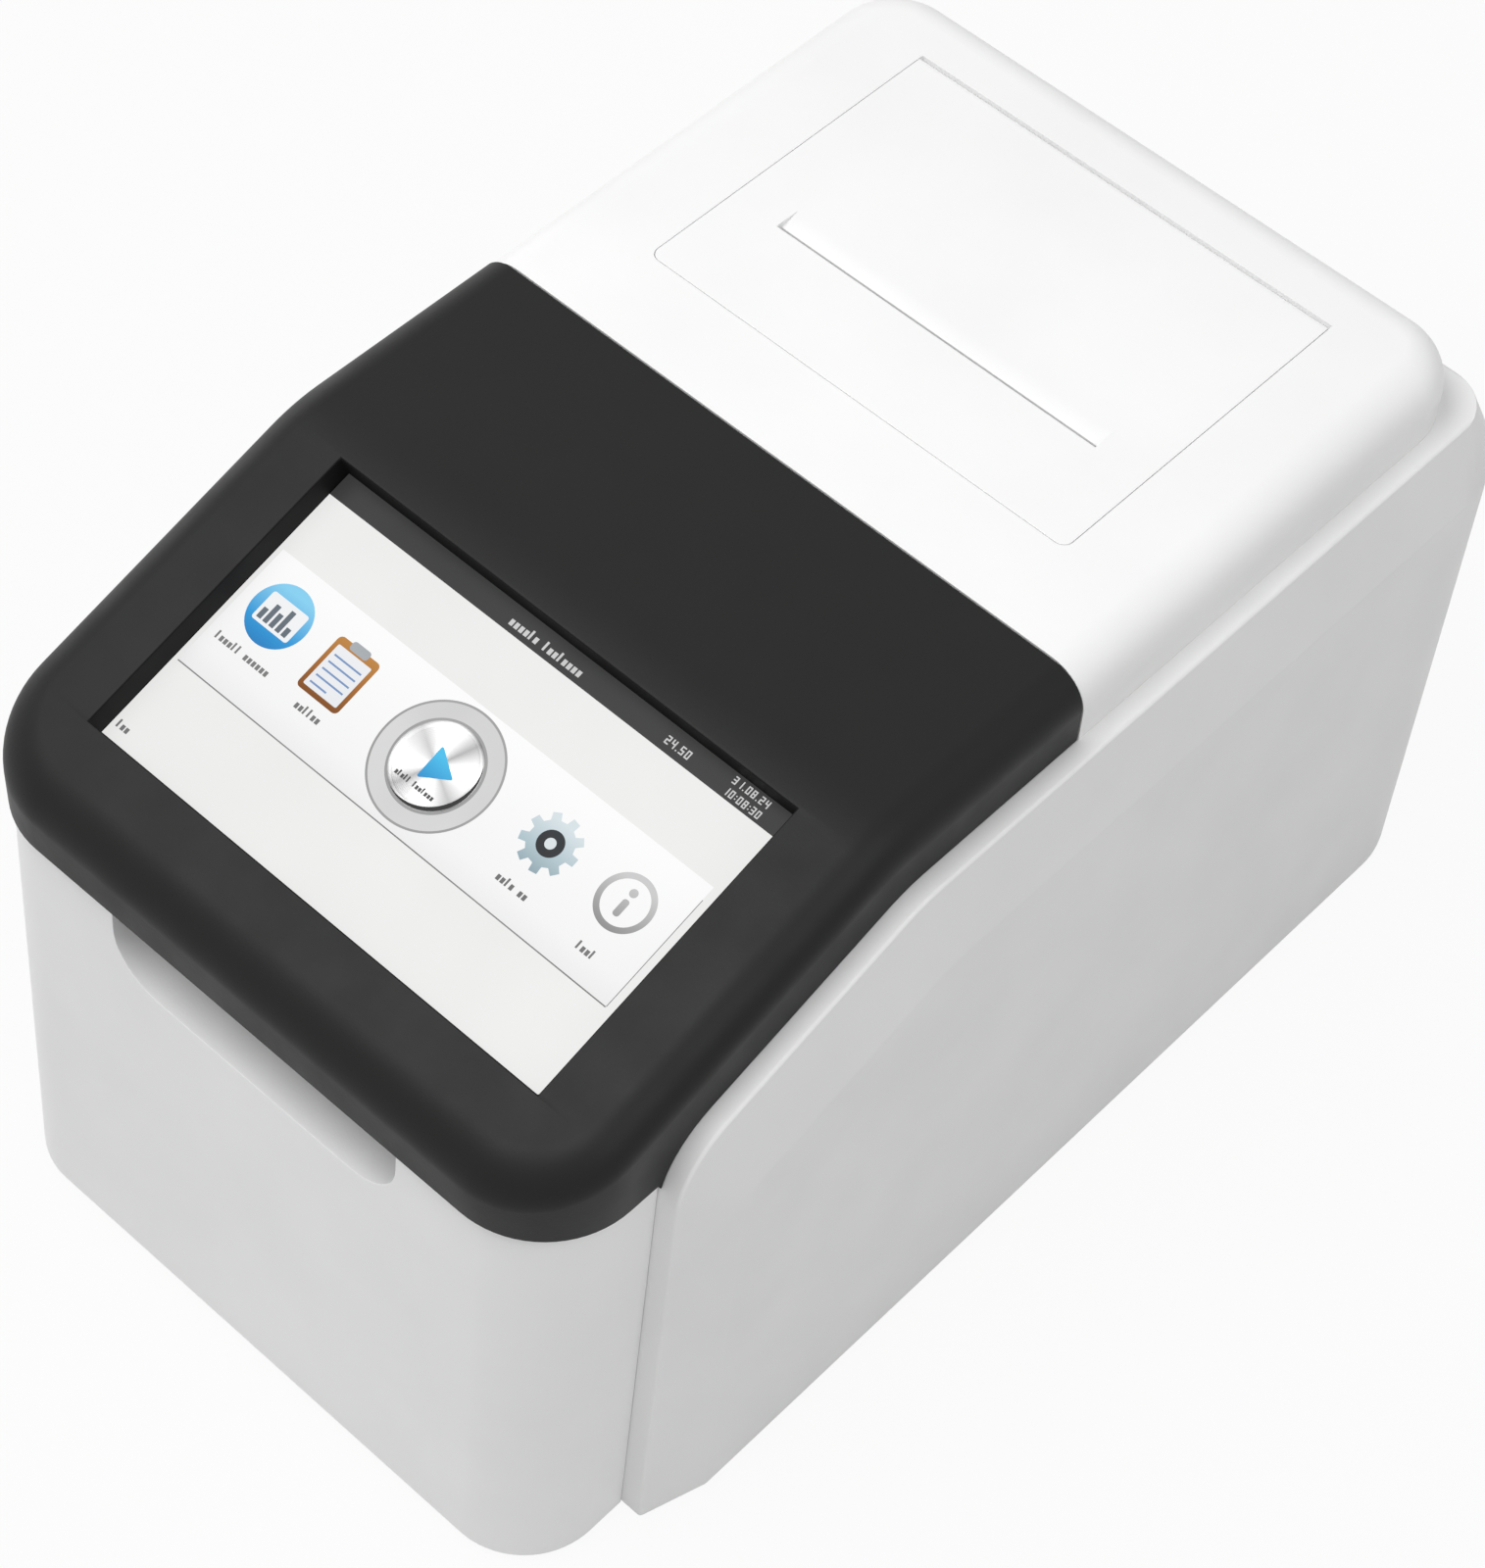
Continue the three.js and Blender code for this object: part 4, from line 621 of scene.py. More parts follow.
# Grey case
CASE_LOW = 2.5
OPENING_CORNER = 16
OPENING_MARGIN = 5.5
# Holes in the rear wall: middle x, middle z, half width, half height
REAR_HOLES = (
    (-48, 30, 14, 10),
    (-10, 30, 6.5, 9.5),
    (-46, 128.325, 6.6, 2.9),
    (-26, 128.325, 6.6, 2.9),
    (-2, 132.125, 8, 6.7),
)
VENT_X = 42
VENT_Z = 80
VENT_RADIUS = 28
VENT_SLOTS = 7
VENT_PITCH = 7
VENT_HALF_HEIGHT = 1.5
VENT_ROUND = 1.3


def make_case():
    opening = prism("opening", "z", rectangle((-OPENING_HALF, OPENING_HALF), (FRONT - OVERRUN,
                    COVER_REAR - OPENING_MARGIN), OPENING_CORNER, steps=8), -OVERRUN, HEIGHT)
    shell = cut(case_form(0, CASE_LOW), case_form(WALL, CASE_LOW - OVERRUN), opening)
    through = (REAR - WALL - OVERRUN, REAR + OVERRUN)
    holes = []
    for x, z, half_width, half_height in REAR_HOLES:
        reach = half_width + SEAT
        rise = half_height + SEAT
        holes.append(block("hole", (x - reach, x + reach), through, (z - rise, z + rise)))
    for i in range(VENT_SLOTS):
        z = VENT_Z + (i - VENT_SLOTS // 2) * VENT_PITCH
        reach = math.sqrt(VENT_RADIUS ** 2 - (z - VENT_Z) ** 2)
        holes.append(prism("slot", "y", rectangle(
            (z - VENT_HALF_HEIGHT, z + VENT_HALF_HEIGHT), (VENT_X - reach, VENT_X + reach), VENT_ROUND,
            steps=5), *through))
    cut(shell, *holes)
    shell.name = "case_body_shell"
    softened(shell, width=0.2, angle=30)
    dress(shaded(shell), case_plastic, "case", "case_shell")


# White cover, with the opening for the printer door and the lugs that hold its pin
DOOR_HALF = 70
DOOR_FRONT = 28.53
DOOR_REAR = 135.042
DOOR_CORNER = 3
DOOR_GAP = 0.2
HINGE_GAP = 0.4
ROLL = 2.5
PIN_Y = DOOR_REAR - ROLL
PIN_Z = HEIGHT - ROLL
PIN_BORE = 1.4
LUG_WIDTH = 9
LUG_REACH = 3.6
COVER_LIFT = 0.05
COVER_LOW = LEDGE_Z + COVER_LIFT
TONGUE_INSET = WALL - TONGUE_OVERLAP + SEAM
TONGUE_THICKNESS = 2
TONGUE_REACH = 6
TONGUE_ROOT = 3


def door_outline(gap, rear):
    side = DOOR_HALF + gap
    front = DOOR_FRONT - gap
    corner = DOOR_CORNER + gap
    return rounded([(-side, rear), (-side, front, corner), (side, front, corner), (side, rear)],
                   steps=8)


def make_cover():
    flat = SEAM / 2
    opening = prism("opening", "z", door_outline(DOOR_GAP, DOOR_REAR + HINGE_GAP), LEDGE_Z,
                    HEIGHT + OVERRUN)
    shell = cut(cover_form(0, flat, COVER_LOW), cover_form(WALL, flat - OVERRUN, COVER_LOW - OVERRUN),
                opening)
    reach = flat - TONGUE_REACH
    tongue = cut(
        cover_form(TONGUE_INSET, reach, COVER_LOW),
        cover_form(TONGUE_INSET + TONGUE_THICKNESS, reach - OVERRUN, COVER_LOW - OVERRUN),
        block("back", (-HALF, HALF), (flat + TONGUE_ROOT, REAR), (0, HEIGHT)),
    )
    near = DOOR_HALF + DOOR_GAP
    lugs = [block("lug", handed(side, near, near + LUG_WIDTH),
                  (PIN_Y - LUG_REACH, DOOR_REAR + WALL + HINGE_GAP), (PIN_Z - LUG_REACH, HEIGHT - WALL / 2))
            for side in (-1, 1)]
    joined(shell, tongue, *lugs)
    bore_end = DOOR_HALF + LUG_WIDTH
    cut(shell, rod("bore", PIN_BORE, (PIN_Y, PIN_Z), -bore_end, bore_end, sides=16))
    shell.name = "cover_shell"
    softened(shell, width=0.12, angle=32)
    dress(shaded(shell), cover_plastic, "case", "top_cover")


# Black fascia, with the window in its slope
ON_SLOPE = Matrix.Translation((0, BEND, HEIGHT)) @ Matrix.Rotation(TILT, 4, "X")
WINDOW_HALF = 76.3
WINDOW_HIGH = -6.7
WINDOW_LOW = -96.451
WINDOW_DEPTH = 8
WINDOW_WALL = 2.5
REBATE_FRONT = -6.5


def window_block(grow, n0, n1):
    return block("window", (-WINDOW_HALF - grow, WINDOW_HALF + grow),
                 (WINDOW_LOW - grow, WINDOW_HIGH + grow), (n0, n1), ON_SLOPE)


def finish_recess(shell):
    """Gives the faces that lie inside the window their own plastic, a slightly darker black as painted
    shade, with less gloss.
    """
    shell.data.materials.append(recess_shaded_plastic)
    to_slope = ON_SLOPE.inverted()
    margin = 0.4
    surface = -0.02
    placed = [to_slope @ (vertex.co / MM) for vertex in shell.data.vertices]
    within = [abs(x) < WINDOW_HALF + margin and WINDOW_LOW - margin < v < WINDOW_HIGH + margin
              for x, v, _ in placed]
    for face in shell.data.polygons:
        depth = (to_slope @ (face.center / MM)).z
        if depth < surface and all(within[i] for i in face.vertices):
            face.material_index = 1


def make_fascia():
    flat = -SEAM / 2
    low = LIP_Z - OVERRUN
    inner_flat = flat + OVERRUN
    shell = cut(fascia_form(0, flat, low), fascia_form(WALL, inner_flat, low - OVERRUN))
    rebate = cut(fascia_form(WALL - TONGUE_OVERLAP, inner_flat, low - OVERRUN),
                 block("front", (-HALF, HALF), (FRONT - OVERRUN, REBATE_FRONT), (0, HEIGHT)))
    cut(shell, rebate)
    joined(shell, window_block(WINDOW_WALL, -WINDOW_DEPTH, -WALL / 2))
    skirt = prism("skirt", "x", ledge_outline(-SEAT, -OVERRUN), -HALF, HALF)
    under_lip = block("under", (-HALF, HALF), (FRONT - OVERRUN, SHELL_FRONT + LEAN * LIP_Z), (0, LIP_Z))
    cut(shell, window_block(0, -WINDOW_DEPTH - OVERRUN, OVERRUN), skirt, under_lip)
    shell.name = "fascia_shell"
    softened(shell, width=0.35, angle=32)
    dress(shaded(shell), fascia_plastic, "case", "front_fascia")
    finish_recess(shell)


# Drawer front with the finger pocket
DRAWER_HALF = 100.5
DRAWER_LOW = 2.7
DRAWER_TOP = 153
DRAWER_WALL = 3.2
DRAWER_CORNER = 24
DRAWER_SEAM = 0.12
POCKET_HALF = 49.5
POCKET_HEIGHT = 26
POCKET_DEPTH = 16
POCKET_CORNER = 22
POCKET_RISE = 17
POCKET_TAPER = 3
POCKET_WALL = 2.4


def face_y(z):
    return FRONT + LEAN * (z - DRAWER_LOW)


def drawer_ring(inset, z, end_y):
    radius = DRAWER_CORNER - inset
    right = [(DRAWER_HALF - inset, end_y + LEAN * z)]
    for i in range(ARC_STEPS + 1):
        angle = QUARTER * i / ARC_STEPS
        right.append((
            DRAWER_HALF - DRAWER_CORNER + radius * math.cos(angle),
            face_y(z) + DRAWER_CORNER - radius * math.sin(angle),
        ))
    return mirrored(right, z)


def pocket_form(grow, top, start):
    """A scoop that opens upwards: the deeper, the higher its floor."""
    steps = 12

    def ring(depth, rise):
        low = DRAWER_TOP - POCKET_HEIGHT - grow + rise
        outer = POCKET_HALF + grow - rise / POCKET_TAPER
        corner = POCKET_CORNER + grow
        outline = rounded([(-outer, top), (-outer, low, corner), (outer, low, corner), (outer, top)],
                          steps=10)
        return [(x, face_y(z) + depth, z) for x, z in outline]

    rings = [ring(start, 0)]
    for i in range(steps + 1):
        angle = QUARTER * i / steps
        depth = (POCKET_DEPTH + grow) * math.sin(angle)
        if depth > start:
            rings.append(ring(depth, POCKET_RISE * (1 - math.cos(angle))))
    return loft("recess", rings)


def finish_pocket(shell):
    """Gives the faces that look into the finger pocket their own plastic, darker than the drawer's and
    darker still deeper in, as painted shade.
    """
    shell.data.materials.append(pocket_shaded_plastic)
    margin = 1
    start = 0.3
    slant = 0.05
    for face in shell.data.polygons:
        x, y, z = face.center / MM
        inside = (abs(x) < POCKET_HALF + margin and z > DRAWER_TOP - POCKET_HEIGHT - margin
                  and y > face_y(z) + start)
        toward = face.normal.y < -slant or face.normal.z > slant or face.normal.x * x < 0
        if inside and toward:
            face.material_index = 1


def make_drawer_front():
    end_y = SHELL_FRONT - DRAWER_SEAM
    outside = [drawer_ring(0, z, end_y) for z in (DRAWER_LOW, DRAWER_TOP)]
    inside = [drawer_ring(DRAWER_WALL, z, end_y + OVERRUN)
              for z in (DRAWER_LOW - OVERRUN, DRAWER_TOP - DRAWER_WALL)]
    inner_half = DRAWER_HALF - DRAWER_WALL
    shell = cut(
        loft("drawer_form", outside, strips=True),
        loft("hollow", inside, strips=True),
        block("top_gap", (-inner_half, inner_half),
              (face_y(DRAWER_TOP) + DRAWER_CORNER, SHELL_FRONT + OVERRUN * 3),
              (DRAWER_TOP - DRAWER_WALL - OVERRUN, DRAWER_TOP + OVERRUN)),
    )
    joined(shell, pocket_form(POCKET_WALL, DRAWER_TOP - DRAWER_WALL / 2, DRAWER_WALL / 2))
    cut(shell, pocket_form(0, DRAWER_TOP + OVERRUN, -OVERRUN))
    shell.name = "drawer_face"
    softened(shell, width=0.18, angle=32)
    dress(shaded(shell), drawer_plastic, "drawer", "drawer_front")
    finish_pocket(shell)


# Printer door with its wedge-shaped paper slot
SLOT_Y = 60.484
SLOT_HALF = 54
SLOT_HALF_GAP = 1
WEDGE_DEPTH = 1.8
WEDGE_REACH = 7.5
BOSS_WALL = 2.5
BOSS_REAR = 8.5
PIN_RADIUS = 1.1
PIN_REACH = 8
SWING_GAP = 0.15


def rear_lip_outline():
    """The door's rear edge in side view: it reaches as far back as it can and still swing open."""
    steps = 8
    root_y = PIN_Y - 1
    swing = ROLL + HINGE_GAP - SWING_GAP
    edge_y = PIN_Y + math.sqrt(swing ** 2 - ROLL ** 2)
    outline = [(root_y, PIN_Z), (root_y, HEIGHT), (edge_y, HEIGHT)]
    start = math.atan2(ROLL, edge_y - PIN_Y)
    for i in range(1, steps + 1):
        angle = start * (1 - i / steps)
        outline.append((PIN_Y + swing * math.cos(angle), PIN_Z + swing * math.sin(angle)))
    return outline


def make_door():
    centre = (PIN_Y, PIN_Z)
    plate = prism("door_lid", "z", door_outline(0, PIN_Y), HEIGHT - WALL, HEIGHT)
    roll = rod("roll", ROLL, centre, -DOOR_HALF, DOOR_HALF, sides=32)
    rear_lip = prism("rear_lip", "x", rear_lip_outline(), -DOOR_HALF, DOOR_HALF)
    pin_end = DOOR_HALF + PIN_REACH
    pin = rod("pin", PIN_RADIUS, centre, -pin_end, pin_end, sides=20)
    wedge_low = HEIGHT - WEDGE_DEPTH
    boss_low = wedge_low - BOSS_WALL
    slot_front = SLOT_Y - SLOT_HALF_GAP
    slot_rear = SLOT_Y + SLOT_HALF_GAP
    boss = block("boss", (-SLOT_HALF - BOSS_WALL, SLOT_HALF + BOSS_WALL),
                 (slot_front - BOSS_WALL, SLOT_Y + BOSS_REAR), (boss_low, HEIGHT - WALL / 2))
    slot = block("slot", (-SLOT_HALF, SLOT_HALF), (slot_front, slot_rear),
                 (boss_low - OVERRUN, HEIGHT + OVERRUN))
    high = HEIGHT + SEAT
    wedge = prism("wedge", "x", [(slot_front, high), (slot_front, wedge_low), (slot_rear, wedge_low),
                                 (SLOT_Y + WEDGE_REACH, high)], -SLOT_HALF, SLOT_HALF)
    joined(plate, roll, rear_lip, pin, boss)
    cut(plate, slot, wedge)
    softened(plate, width=0.12, angle=32)
    dress(shaded(plate), cover_plastic, "printer_lid", "printer_door")


# Screen picture: thin flat shapes on the touch glass, lit like a display
GLASS_TOP = -8.2
PICTURE_WIDTH = 2 * WINDOW_HALF
PICTURE_HEIGHT = WINDOW_HIGH - WINDOW_LOW
DISPLAY_GLOW = 0.84
DISPLAY_BODY = 0.1


def glowing(shader, tint):
    """Shows a tint as a lit display does: nearly the same in any light."""
    dim = shader.node("Mix", data_type="RGBA", blend_type="MULTIPLY")
    dim.inputs[0].default_value = 1
    dim.inputs[7].default_value = [DISPLAY_BODY, DISPLAY_BODY, DISPLAY_BODY, 1]
    shader.link(tint, dim.inputs[6])
    shader.colour(dim.outputs[2])
    shader.link(tint, shader.base.inputs["Emission Color"])
    shader.set(Emission_Strength=DISPLAY_GLOW, Roughness=0.35, Specular_IOR_Level=0.1)


def lit(name, first, second):
    """A lit display colour that drifts softly between two tones."""
    shader = Shader(name)
    drift = shader.noise(scale=30, detail=2)
    glowing(shader, shader.mixed(shader.ranged(drift, 0, 1), linear(first), linear(second)))
    return shader.material


def faded(name, stops, low, high):
    """A lit colour that runs through stops between two places along y."""
    shader = Shader(name)
    glowing(shader, shader.ramped(shader.along_y(low, high), stops))
    return shader.material


def picture_point(x, y, height):
    """A point of the picture, measured from the window's upper left corner and up from the glass."""
    return tuple(ON_SLOPE @ Vector((x - WINDOW_HALF, WINDOW_HIGH - y, GLASS_TOP + height)))


def picture_y(y):
    return BEND + (WINDOW_HIGH - y) * math.cos(TILT)


def span_round(y, reach):
    return picture_y(y) - reach, picture_y(y) + reach


def printed(name, outlines, material, low, high):
    """Thin raised shapes on the glass; each outline is a list of (x, y) on the picture."""
    points = []
    faces = []
    for outline in outlines:
        count = len(outline)
        start = len(points)
        points += [picture_point(x, y, h) for h in (low, high) for x, y in outline]
        faces.append(tuple(range(start, start + count)))
        faces.append(tuple(range(start + count, start + 2 * count))[::-1])
        for i in range(count):
            j = (i + 1) % count
            faces.append((start + i, start + j, start + count + j, start + count + i))
    dress(made(name, points, faces), material, "case")


def box_outline(x, y, width, height, radius=0):
    if radius:
        return rectangle((x, x + width), (y, y + height), radius, steps=5)
    return [(x, y), (x + width, y), (x + width, y + height), (x, y + height)]


def arc_points(x, y, radius, start, end, steps):
    return [(x + radius * math.cos(start + (end - start) * i / steps),
             y + radius * math.sin(start + (end - start) * i / steps)) for i in range(steps + 1)]


def disc_outline(x, y, radius, sides=48):
    return arc_points(x, y, radius, 0, TURN, sides)[:-1]


def ring_outlines(x, y, inner, outer, sides):
    parts = 8
    outlines = []
    for part in range(parts):
        start = TURN * part / parts
        end = start + TURN / parts
        outlines.append(arc_points(x, y, outer, start, end, sides // parts)
                        + arc_points(x, y, inner, start, end, sides // parts)[::-1])
    return outlines


DIGITS = {
    "0": "abcdef", "1": "bc", "2": "abged", "3": "abgcd", "4": "fgbc", "5": "afgcd",
    "6": "afgedc", "7": "abc", "8": "abcdefg", "9": "abcdfg",
}
# Shares of a digit's height
THICK_SHARE = 0.16
WIDE_SHARE = 0.55
DIGIT_PITCH_SHARE = 0.8
MARK_PITCH_SHARE = 0.4
MARK_ROW_SHARES = {":": (0.3, 0.7), ".": (0.92,)}


def digit_outlines(text, x, y, size):
    """Plain numbers in bars, like the digits of a clock."""
    thick = size * THICK_SHARE
    wide = size * WIDE_SHARE
    outlines = []
    for mark in text:
        if mark in MARK_ROW_SHARES:
            outlines += [box_outline(x, y + size * row - thick / 2, thick, thick)
                         for row in MARK_ROW_SHARES[mark]]
            x += size * MARK_PITCH_SHARE
            continue
        bars = {
            "a": (0, 0, wide, thick), "g": (0, size / 2 - thick / 2, wide, thick),
            "d": (0, size - thick, wide, thick), "f": (0, 0, thick, size / 2),
            "e": (0, size / 2, thick, size / 2), "b": (wide - thick, 0, thick, size / 2),
            "c": (wide - thick, size / 2, thick, size / 2),
        }
        for bar in DIGITS[mark]:
            u, v, width, height = bars[bar]
            outlines.append(box_outline(x + u, y + v, width, height))
        x += size * DIGIT_PITCH_SHARE
    return outlines


# Shares of the tall block's height
LETTER_PITCH_SHARE = 0.62
LETTER_GAP_SHARE = 0.2
LOW_SHARE = 0.66
# Shares of the pitch
NARROW_SHARE = 0.4
BROAD_SHARE = 0.72


def greeked(letters, x, y, size):
    """Rows of small blocks in place of words, centred on x: tall for t, low for x, none for a space."""
    pitch = size * LETTER_PITCH_SHARE
    x -= (len(letters) * pitch - LETTER_GAP_SHARE * size) / 2
    outlines = []
    for i, letter in enumerate(letters):
        if letter == " ":
            continue
        tall = size if letter == "t" else size * LOW_SHARE
        wide = pitch * (NARROW_SHARE if letter == "t" else BROAD_SHARE)
        outlines.append(box_outline(x + i * pitch, y + size / 2 - tall, wide, tall))
    return outlines


# Layout of the picture: places are (x, y), rows of text have a size as well
BAR_HEIGHT = 7.1
PANEL_X = (1.4, 147.1)
PANEL_Y = (25.3, 63)
RULE = 0.35
SIDE_RULE = 0.2
SIDE_RULE_START = 4
TITLE = ("xxxxtx txxtxxxx", 72.6, 4.2, 2.6)
READINGS = (("24.50", 112.4, 2.9, 2.3), ("31.08.24", 132.4, 0.8, 2.1), ("10:08:30", 132.4, 4.1, 2.1))
CAPTION_SIZE = 2.3
CAPTIONS = (
    ("txxxtt xxxxxx", 13.3, 52), ("xxttxx", 37.6, 53.2), ("xxtx xx", 108.9, 54.9), ("txxt", 133.8, 55.7),
    ("txx", 3.4, 84.4),
)
RESULTS = (13.7, 39.1)
RECORDS = (36.7, 41)
START = (72.9, 43.9)
SETTINGS = (108.8, 41.3)
INFORMATION = (133.2, 41.2)
# Spans along y over which the two icons on either side fade
LEFT_SPAN = span_round(39.1, reach=9)
RIGHT_SPAN = span_round(41.3, reach=8)


def make_screen():
    width = PANEL_X[1] - PANEL_X[0]
    deep = PANEL_Y[1] - PANEL_Y[0]
    left, right = PANEL_X
    top, bottom = PANEL_Y
    bar = lit("title_bar_tone", "3b3b3b", "404040")
    band = lit("band_tone", "f0f0ef", "f3f3f2")
    sheet = faded("panel_tone", [(0, "eeeeee"), (0.25, "f8f8f8"), (1, "ffffff")], picture_y(bottom),
                  picture_y(top))
    ink = lit("ink_grey", "8c8c8c", "7c7c7c")
    pale = lit("title_ink", "c8c8c8", "dadada")
    caption = lit("caption_grey", "707070", "808080")
    printed("picture_title_bar", [box_outline(0, 0, PICTURE_WIDTH, BAR_HEIGHT)], bar,
            low=-0.02, high=0.05)
    printed("picture_bands", [
        box_outline(0, BAR_HEIGHT, PICTURE_WIDTH, top - BAR_HEIGHT),
        box_outline(0, bottom, PICTURE_WIDTH, PICTURE_HEIGHT - bottom),
        box_outline(0, top, left, deep),
        box_outline(right, top, PICTURE_WIDTH - right, deep),
    ], band, low=-0.02, high=0.05)
    printed("picture_panel", [box_outline(left, top, width, deep)], sheet, low=-0.02, high=0.06)
    printed("picture_rule", [
        box_outline(left, bottom, width, RULE),
        box_outline(right, top + SIDE_RULE_START, SIDE_RULE, deep - SIDE_RULE_START),
    ], ink, low=0.04, high=0.08)
    marks = greeked(*TITLE)
    for reading in READINGS:
        marks += digit_outlines(*reading)
    printed("picture_title_mark", marks, pale, low=0.04, high=0.08)
    words = []
    for letters, x, y in CAPTIONS:
        words += greeked(letters, x, y, CAPTION_SIZE)
    printed("picture_captions", words, caption, low=0.04, high=0.09)


def make_results_icon(x, y):
    """Columns on a white tile over a blue disc."""
    blue = faded("disc_blue", [(0, "1c6fb4"), (0.45, "2f9bdc"), (1, "8ad3f5")], *LEFT_SPAN)
    printed("icon_results_disc", [disc_outline(x, y, 8.95)], blue, low=0.04, high=0.12)
    tile = box_outline(x - 5.9, y - 4.4, 12.4, 8.8, radius=0.8)
    printed("icon_results_tile", [tile], lit("tile_white", "fbfbfb", "f0f3f6"), low=0.1, high=0.18)
    column_width = 1.5
    column_pitch = 2.15
    columns = []
    for i, height in enumerate((3.2, 5.6, 4.2, 6.6, 2.6)):
        columns.append(box_outline(x - 4.9 + i * column_pitch, y + 3.5 - height, column_width, height))
    printed("icon_results_columns", columns, lit("column_grey", "5f6972", "6e7881"), low=0.16, high=0.2)


def make_records_icon(x, y):
    """A clipboard with a ruled sheet."""
    wood = faded("clipboard_brown", [(0, "7a4516"), (0.5, "a8692c"), (1, "c58a45")], *LEFT_SPAN)
    printed("icon_records_board", [box_outline(x - 7, y - 8, 14, 16.6, radius=1.4)], wood,
            low=0.04, high=0.12)
    printed("icon_records_sheet", [box_outline(x - 5.7, y - 5.8, 11.4, 13, radius=0.4)],
            lit("sheet_white", "f4f5f7", "e9ecf1"), low=0.1, high=0.17)
    line_pitch = 2.2
    lines = [box_outline(x - 4.6, y - 3.3 + i * line_pitch, length, 0.5)
             for i, length in enumerate((9.2, 9.2, 9.2, 9.2, 5.6))]
    printed("icon_records_lines", lines, lit("line_blue", "6f8fc0", "839fca"), low=0.15, high=0.19)
    printed("icon_records_clip", [box_outline(x - 3, y - 8.9, 6, 2.6, radius=0.9)],
            lit("clip_grey", "9aa0a6", "c3c7cb"), low=0.1, high=0.24)


def make_settings_icon(x, y):
    """A toothed wheel."""
    teeth = 9
    root = 6.2
    tip = 8.2
    wheel = []
    for i in range(teeth):
        for share, radius in ((-0.3, root), (-0.2, tip), (0.2, tip), (0.3, root)):
            angle = TURN * (i + share) / teeth
            wheel.append((x + radius * math.cos(angle), y + radius * math.sin(angle)))
    blue_grey = faded("wheel_blue_grey", [(0, "7f97a3"), (0.5, "b4c8d0"), (1, "dbe6ea")], *RIGHT_SPAN)
    printed("icon_settings_wheel", [wheel], blue_grey, low=0.04, high=0.14)
    printed("icon_settings_hub", [disc_outline(x, y, 3.6)], lit("hub_dark", "2a2d30", "3a3e42"),
            low=0.12, high=0.2)
    printed("icon_settings_bore", [disc_outline(x, y, 1.5)], lit("bore_pale", "d9e1e5", "eef2f4"),
            low=0.18, high=0.22)


def make_information_icon(x, y):
    """A dot over a bar in a ring."""
    grey = faded("info_grey", [(0, "808080"), (0.5, "a9a9a9"), (1, "cfcfcf")], *RIGHT_SPAN)
    dot = disc_outline(x, y - 3, 1.15, sides=24)
    stem = box_outline(x - 0.95, y - 0.9, 1.9, 4.9, radius=0.8)
    printed("icon_info", ring_outlines(x, y, 6.2, 7.8, sides=64) + [dot, stem], grey,
            low=0.04, high=0.16)


# The button's cap: shares of its radius, and heights over the glass
CAP_RADIUS = 12
RIM_RADIUS = 17.4
CAP_PROFILE = ((1, 0.05), (1, 0.45), (0.96, 0.62), (0.9, 0.55), (0.86, 0.4), (0.5, 0.4), (0.1, 0.4))
CAP_SIDES = 96
# Painted reflection: light and dark sectors round the cap, as turned steel shows them under lamps
SWEEP_REFLECTION_STOPS = (
    (0, "c4c4c4"), (0.08, "ececec"), (0.17, "8f8f8f"), (0.3, "eeeeee"), (0.42, "9c9c9c"),
    (0.56, "f2f2f2"), (0.68, "8a8a8a"), (0.8, "f0f0f0"), (0.92, "a0a0a0"), (1, "c4c4c4"),
)


def turned_steel(x, y):
    """Turned steel whose streaks run round a middle on the picture, with light and dark sectors round the
    cap painted on as reflections.
    """
    shader = Shader("turned_steel")
    mapping = shader.node("Mapping", vector_type="TEXTURE")
    mapping.inputs["Location"].default_value = Vector(picture_point(x, y, 0)) * MM
    mapping.inputs["Rotation"].default_value = (TILT, 0, 0)
    shader.link(shader.coords, mapping.inputs["Vector"])
    sweep = shader.node("TexGradient", gradient_type="RADIAL")
    shader.link(mapping.outputs[0], sweep.inputs[0])
    turning = shader.node("TexWave", wave_type="RINGS", rings_direction="SPHERICAL")
    turning.inputs["Scale"].default_value = 700
    turning.inputs["Distortion"].default_value = 0.6
    shader.link(mapping.outputs[0], turning.inputs["Vector"])
    groove = shader.ranged(turning.outputs["Fac"], 0, 0.12, start=0, end=1)
    shader.colour(shader.mixed(groove, shader.ramped(sweep.outputs["Fac"], SWEEP_REFLECTION_STOPS), linear("7d7d7d")))
    shader.bump(turning.outputs["Fac"], depth=0.01)
    shader.set(Metallic=0.3, Roughness=0.35)
    return shader.material


def crescent_strips(x, y):
    """The dark edge on the cap's lower side, widest in the middle."""
    steps = 36
    first = -35
    sweep = 150
    margin = 0.1
    thinnest = 0.05
    swell = 1.1
    inner = []
    outer = []
    for i in range(steps + 1):
        angle = math.radians(first + sweep * i / steps)
        depth = thinnest + swell * math.sin(math.pi * i / steps)
        for edge, reach in ((inner, CAP_RADIUS - margin - depth), (outer, CAP_RADIUS - margin)):
            edge.append((x + reach * math.cos(angle), y + reach * math.sin(angle)))
    return [[inner[i], inner[i + 1], outer[i + 1], outer[i]] for i in range(steps)]


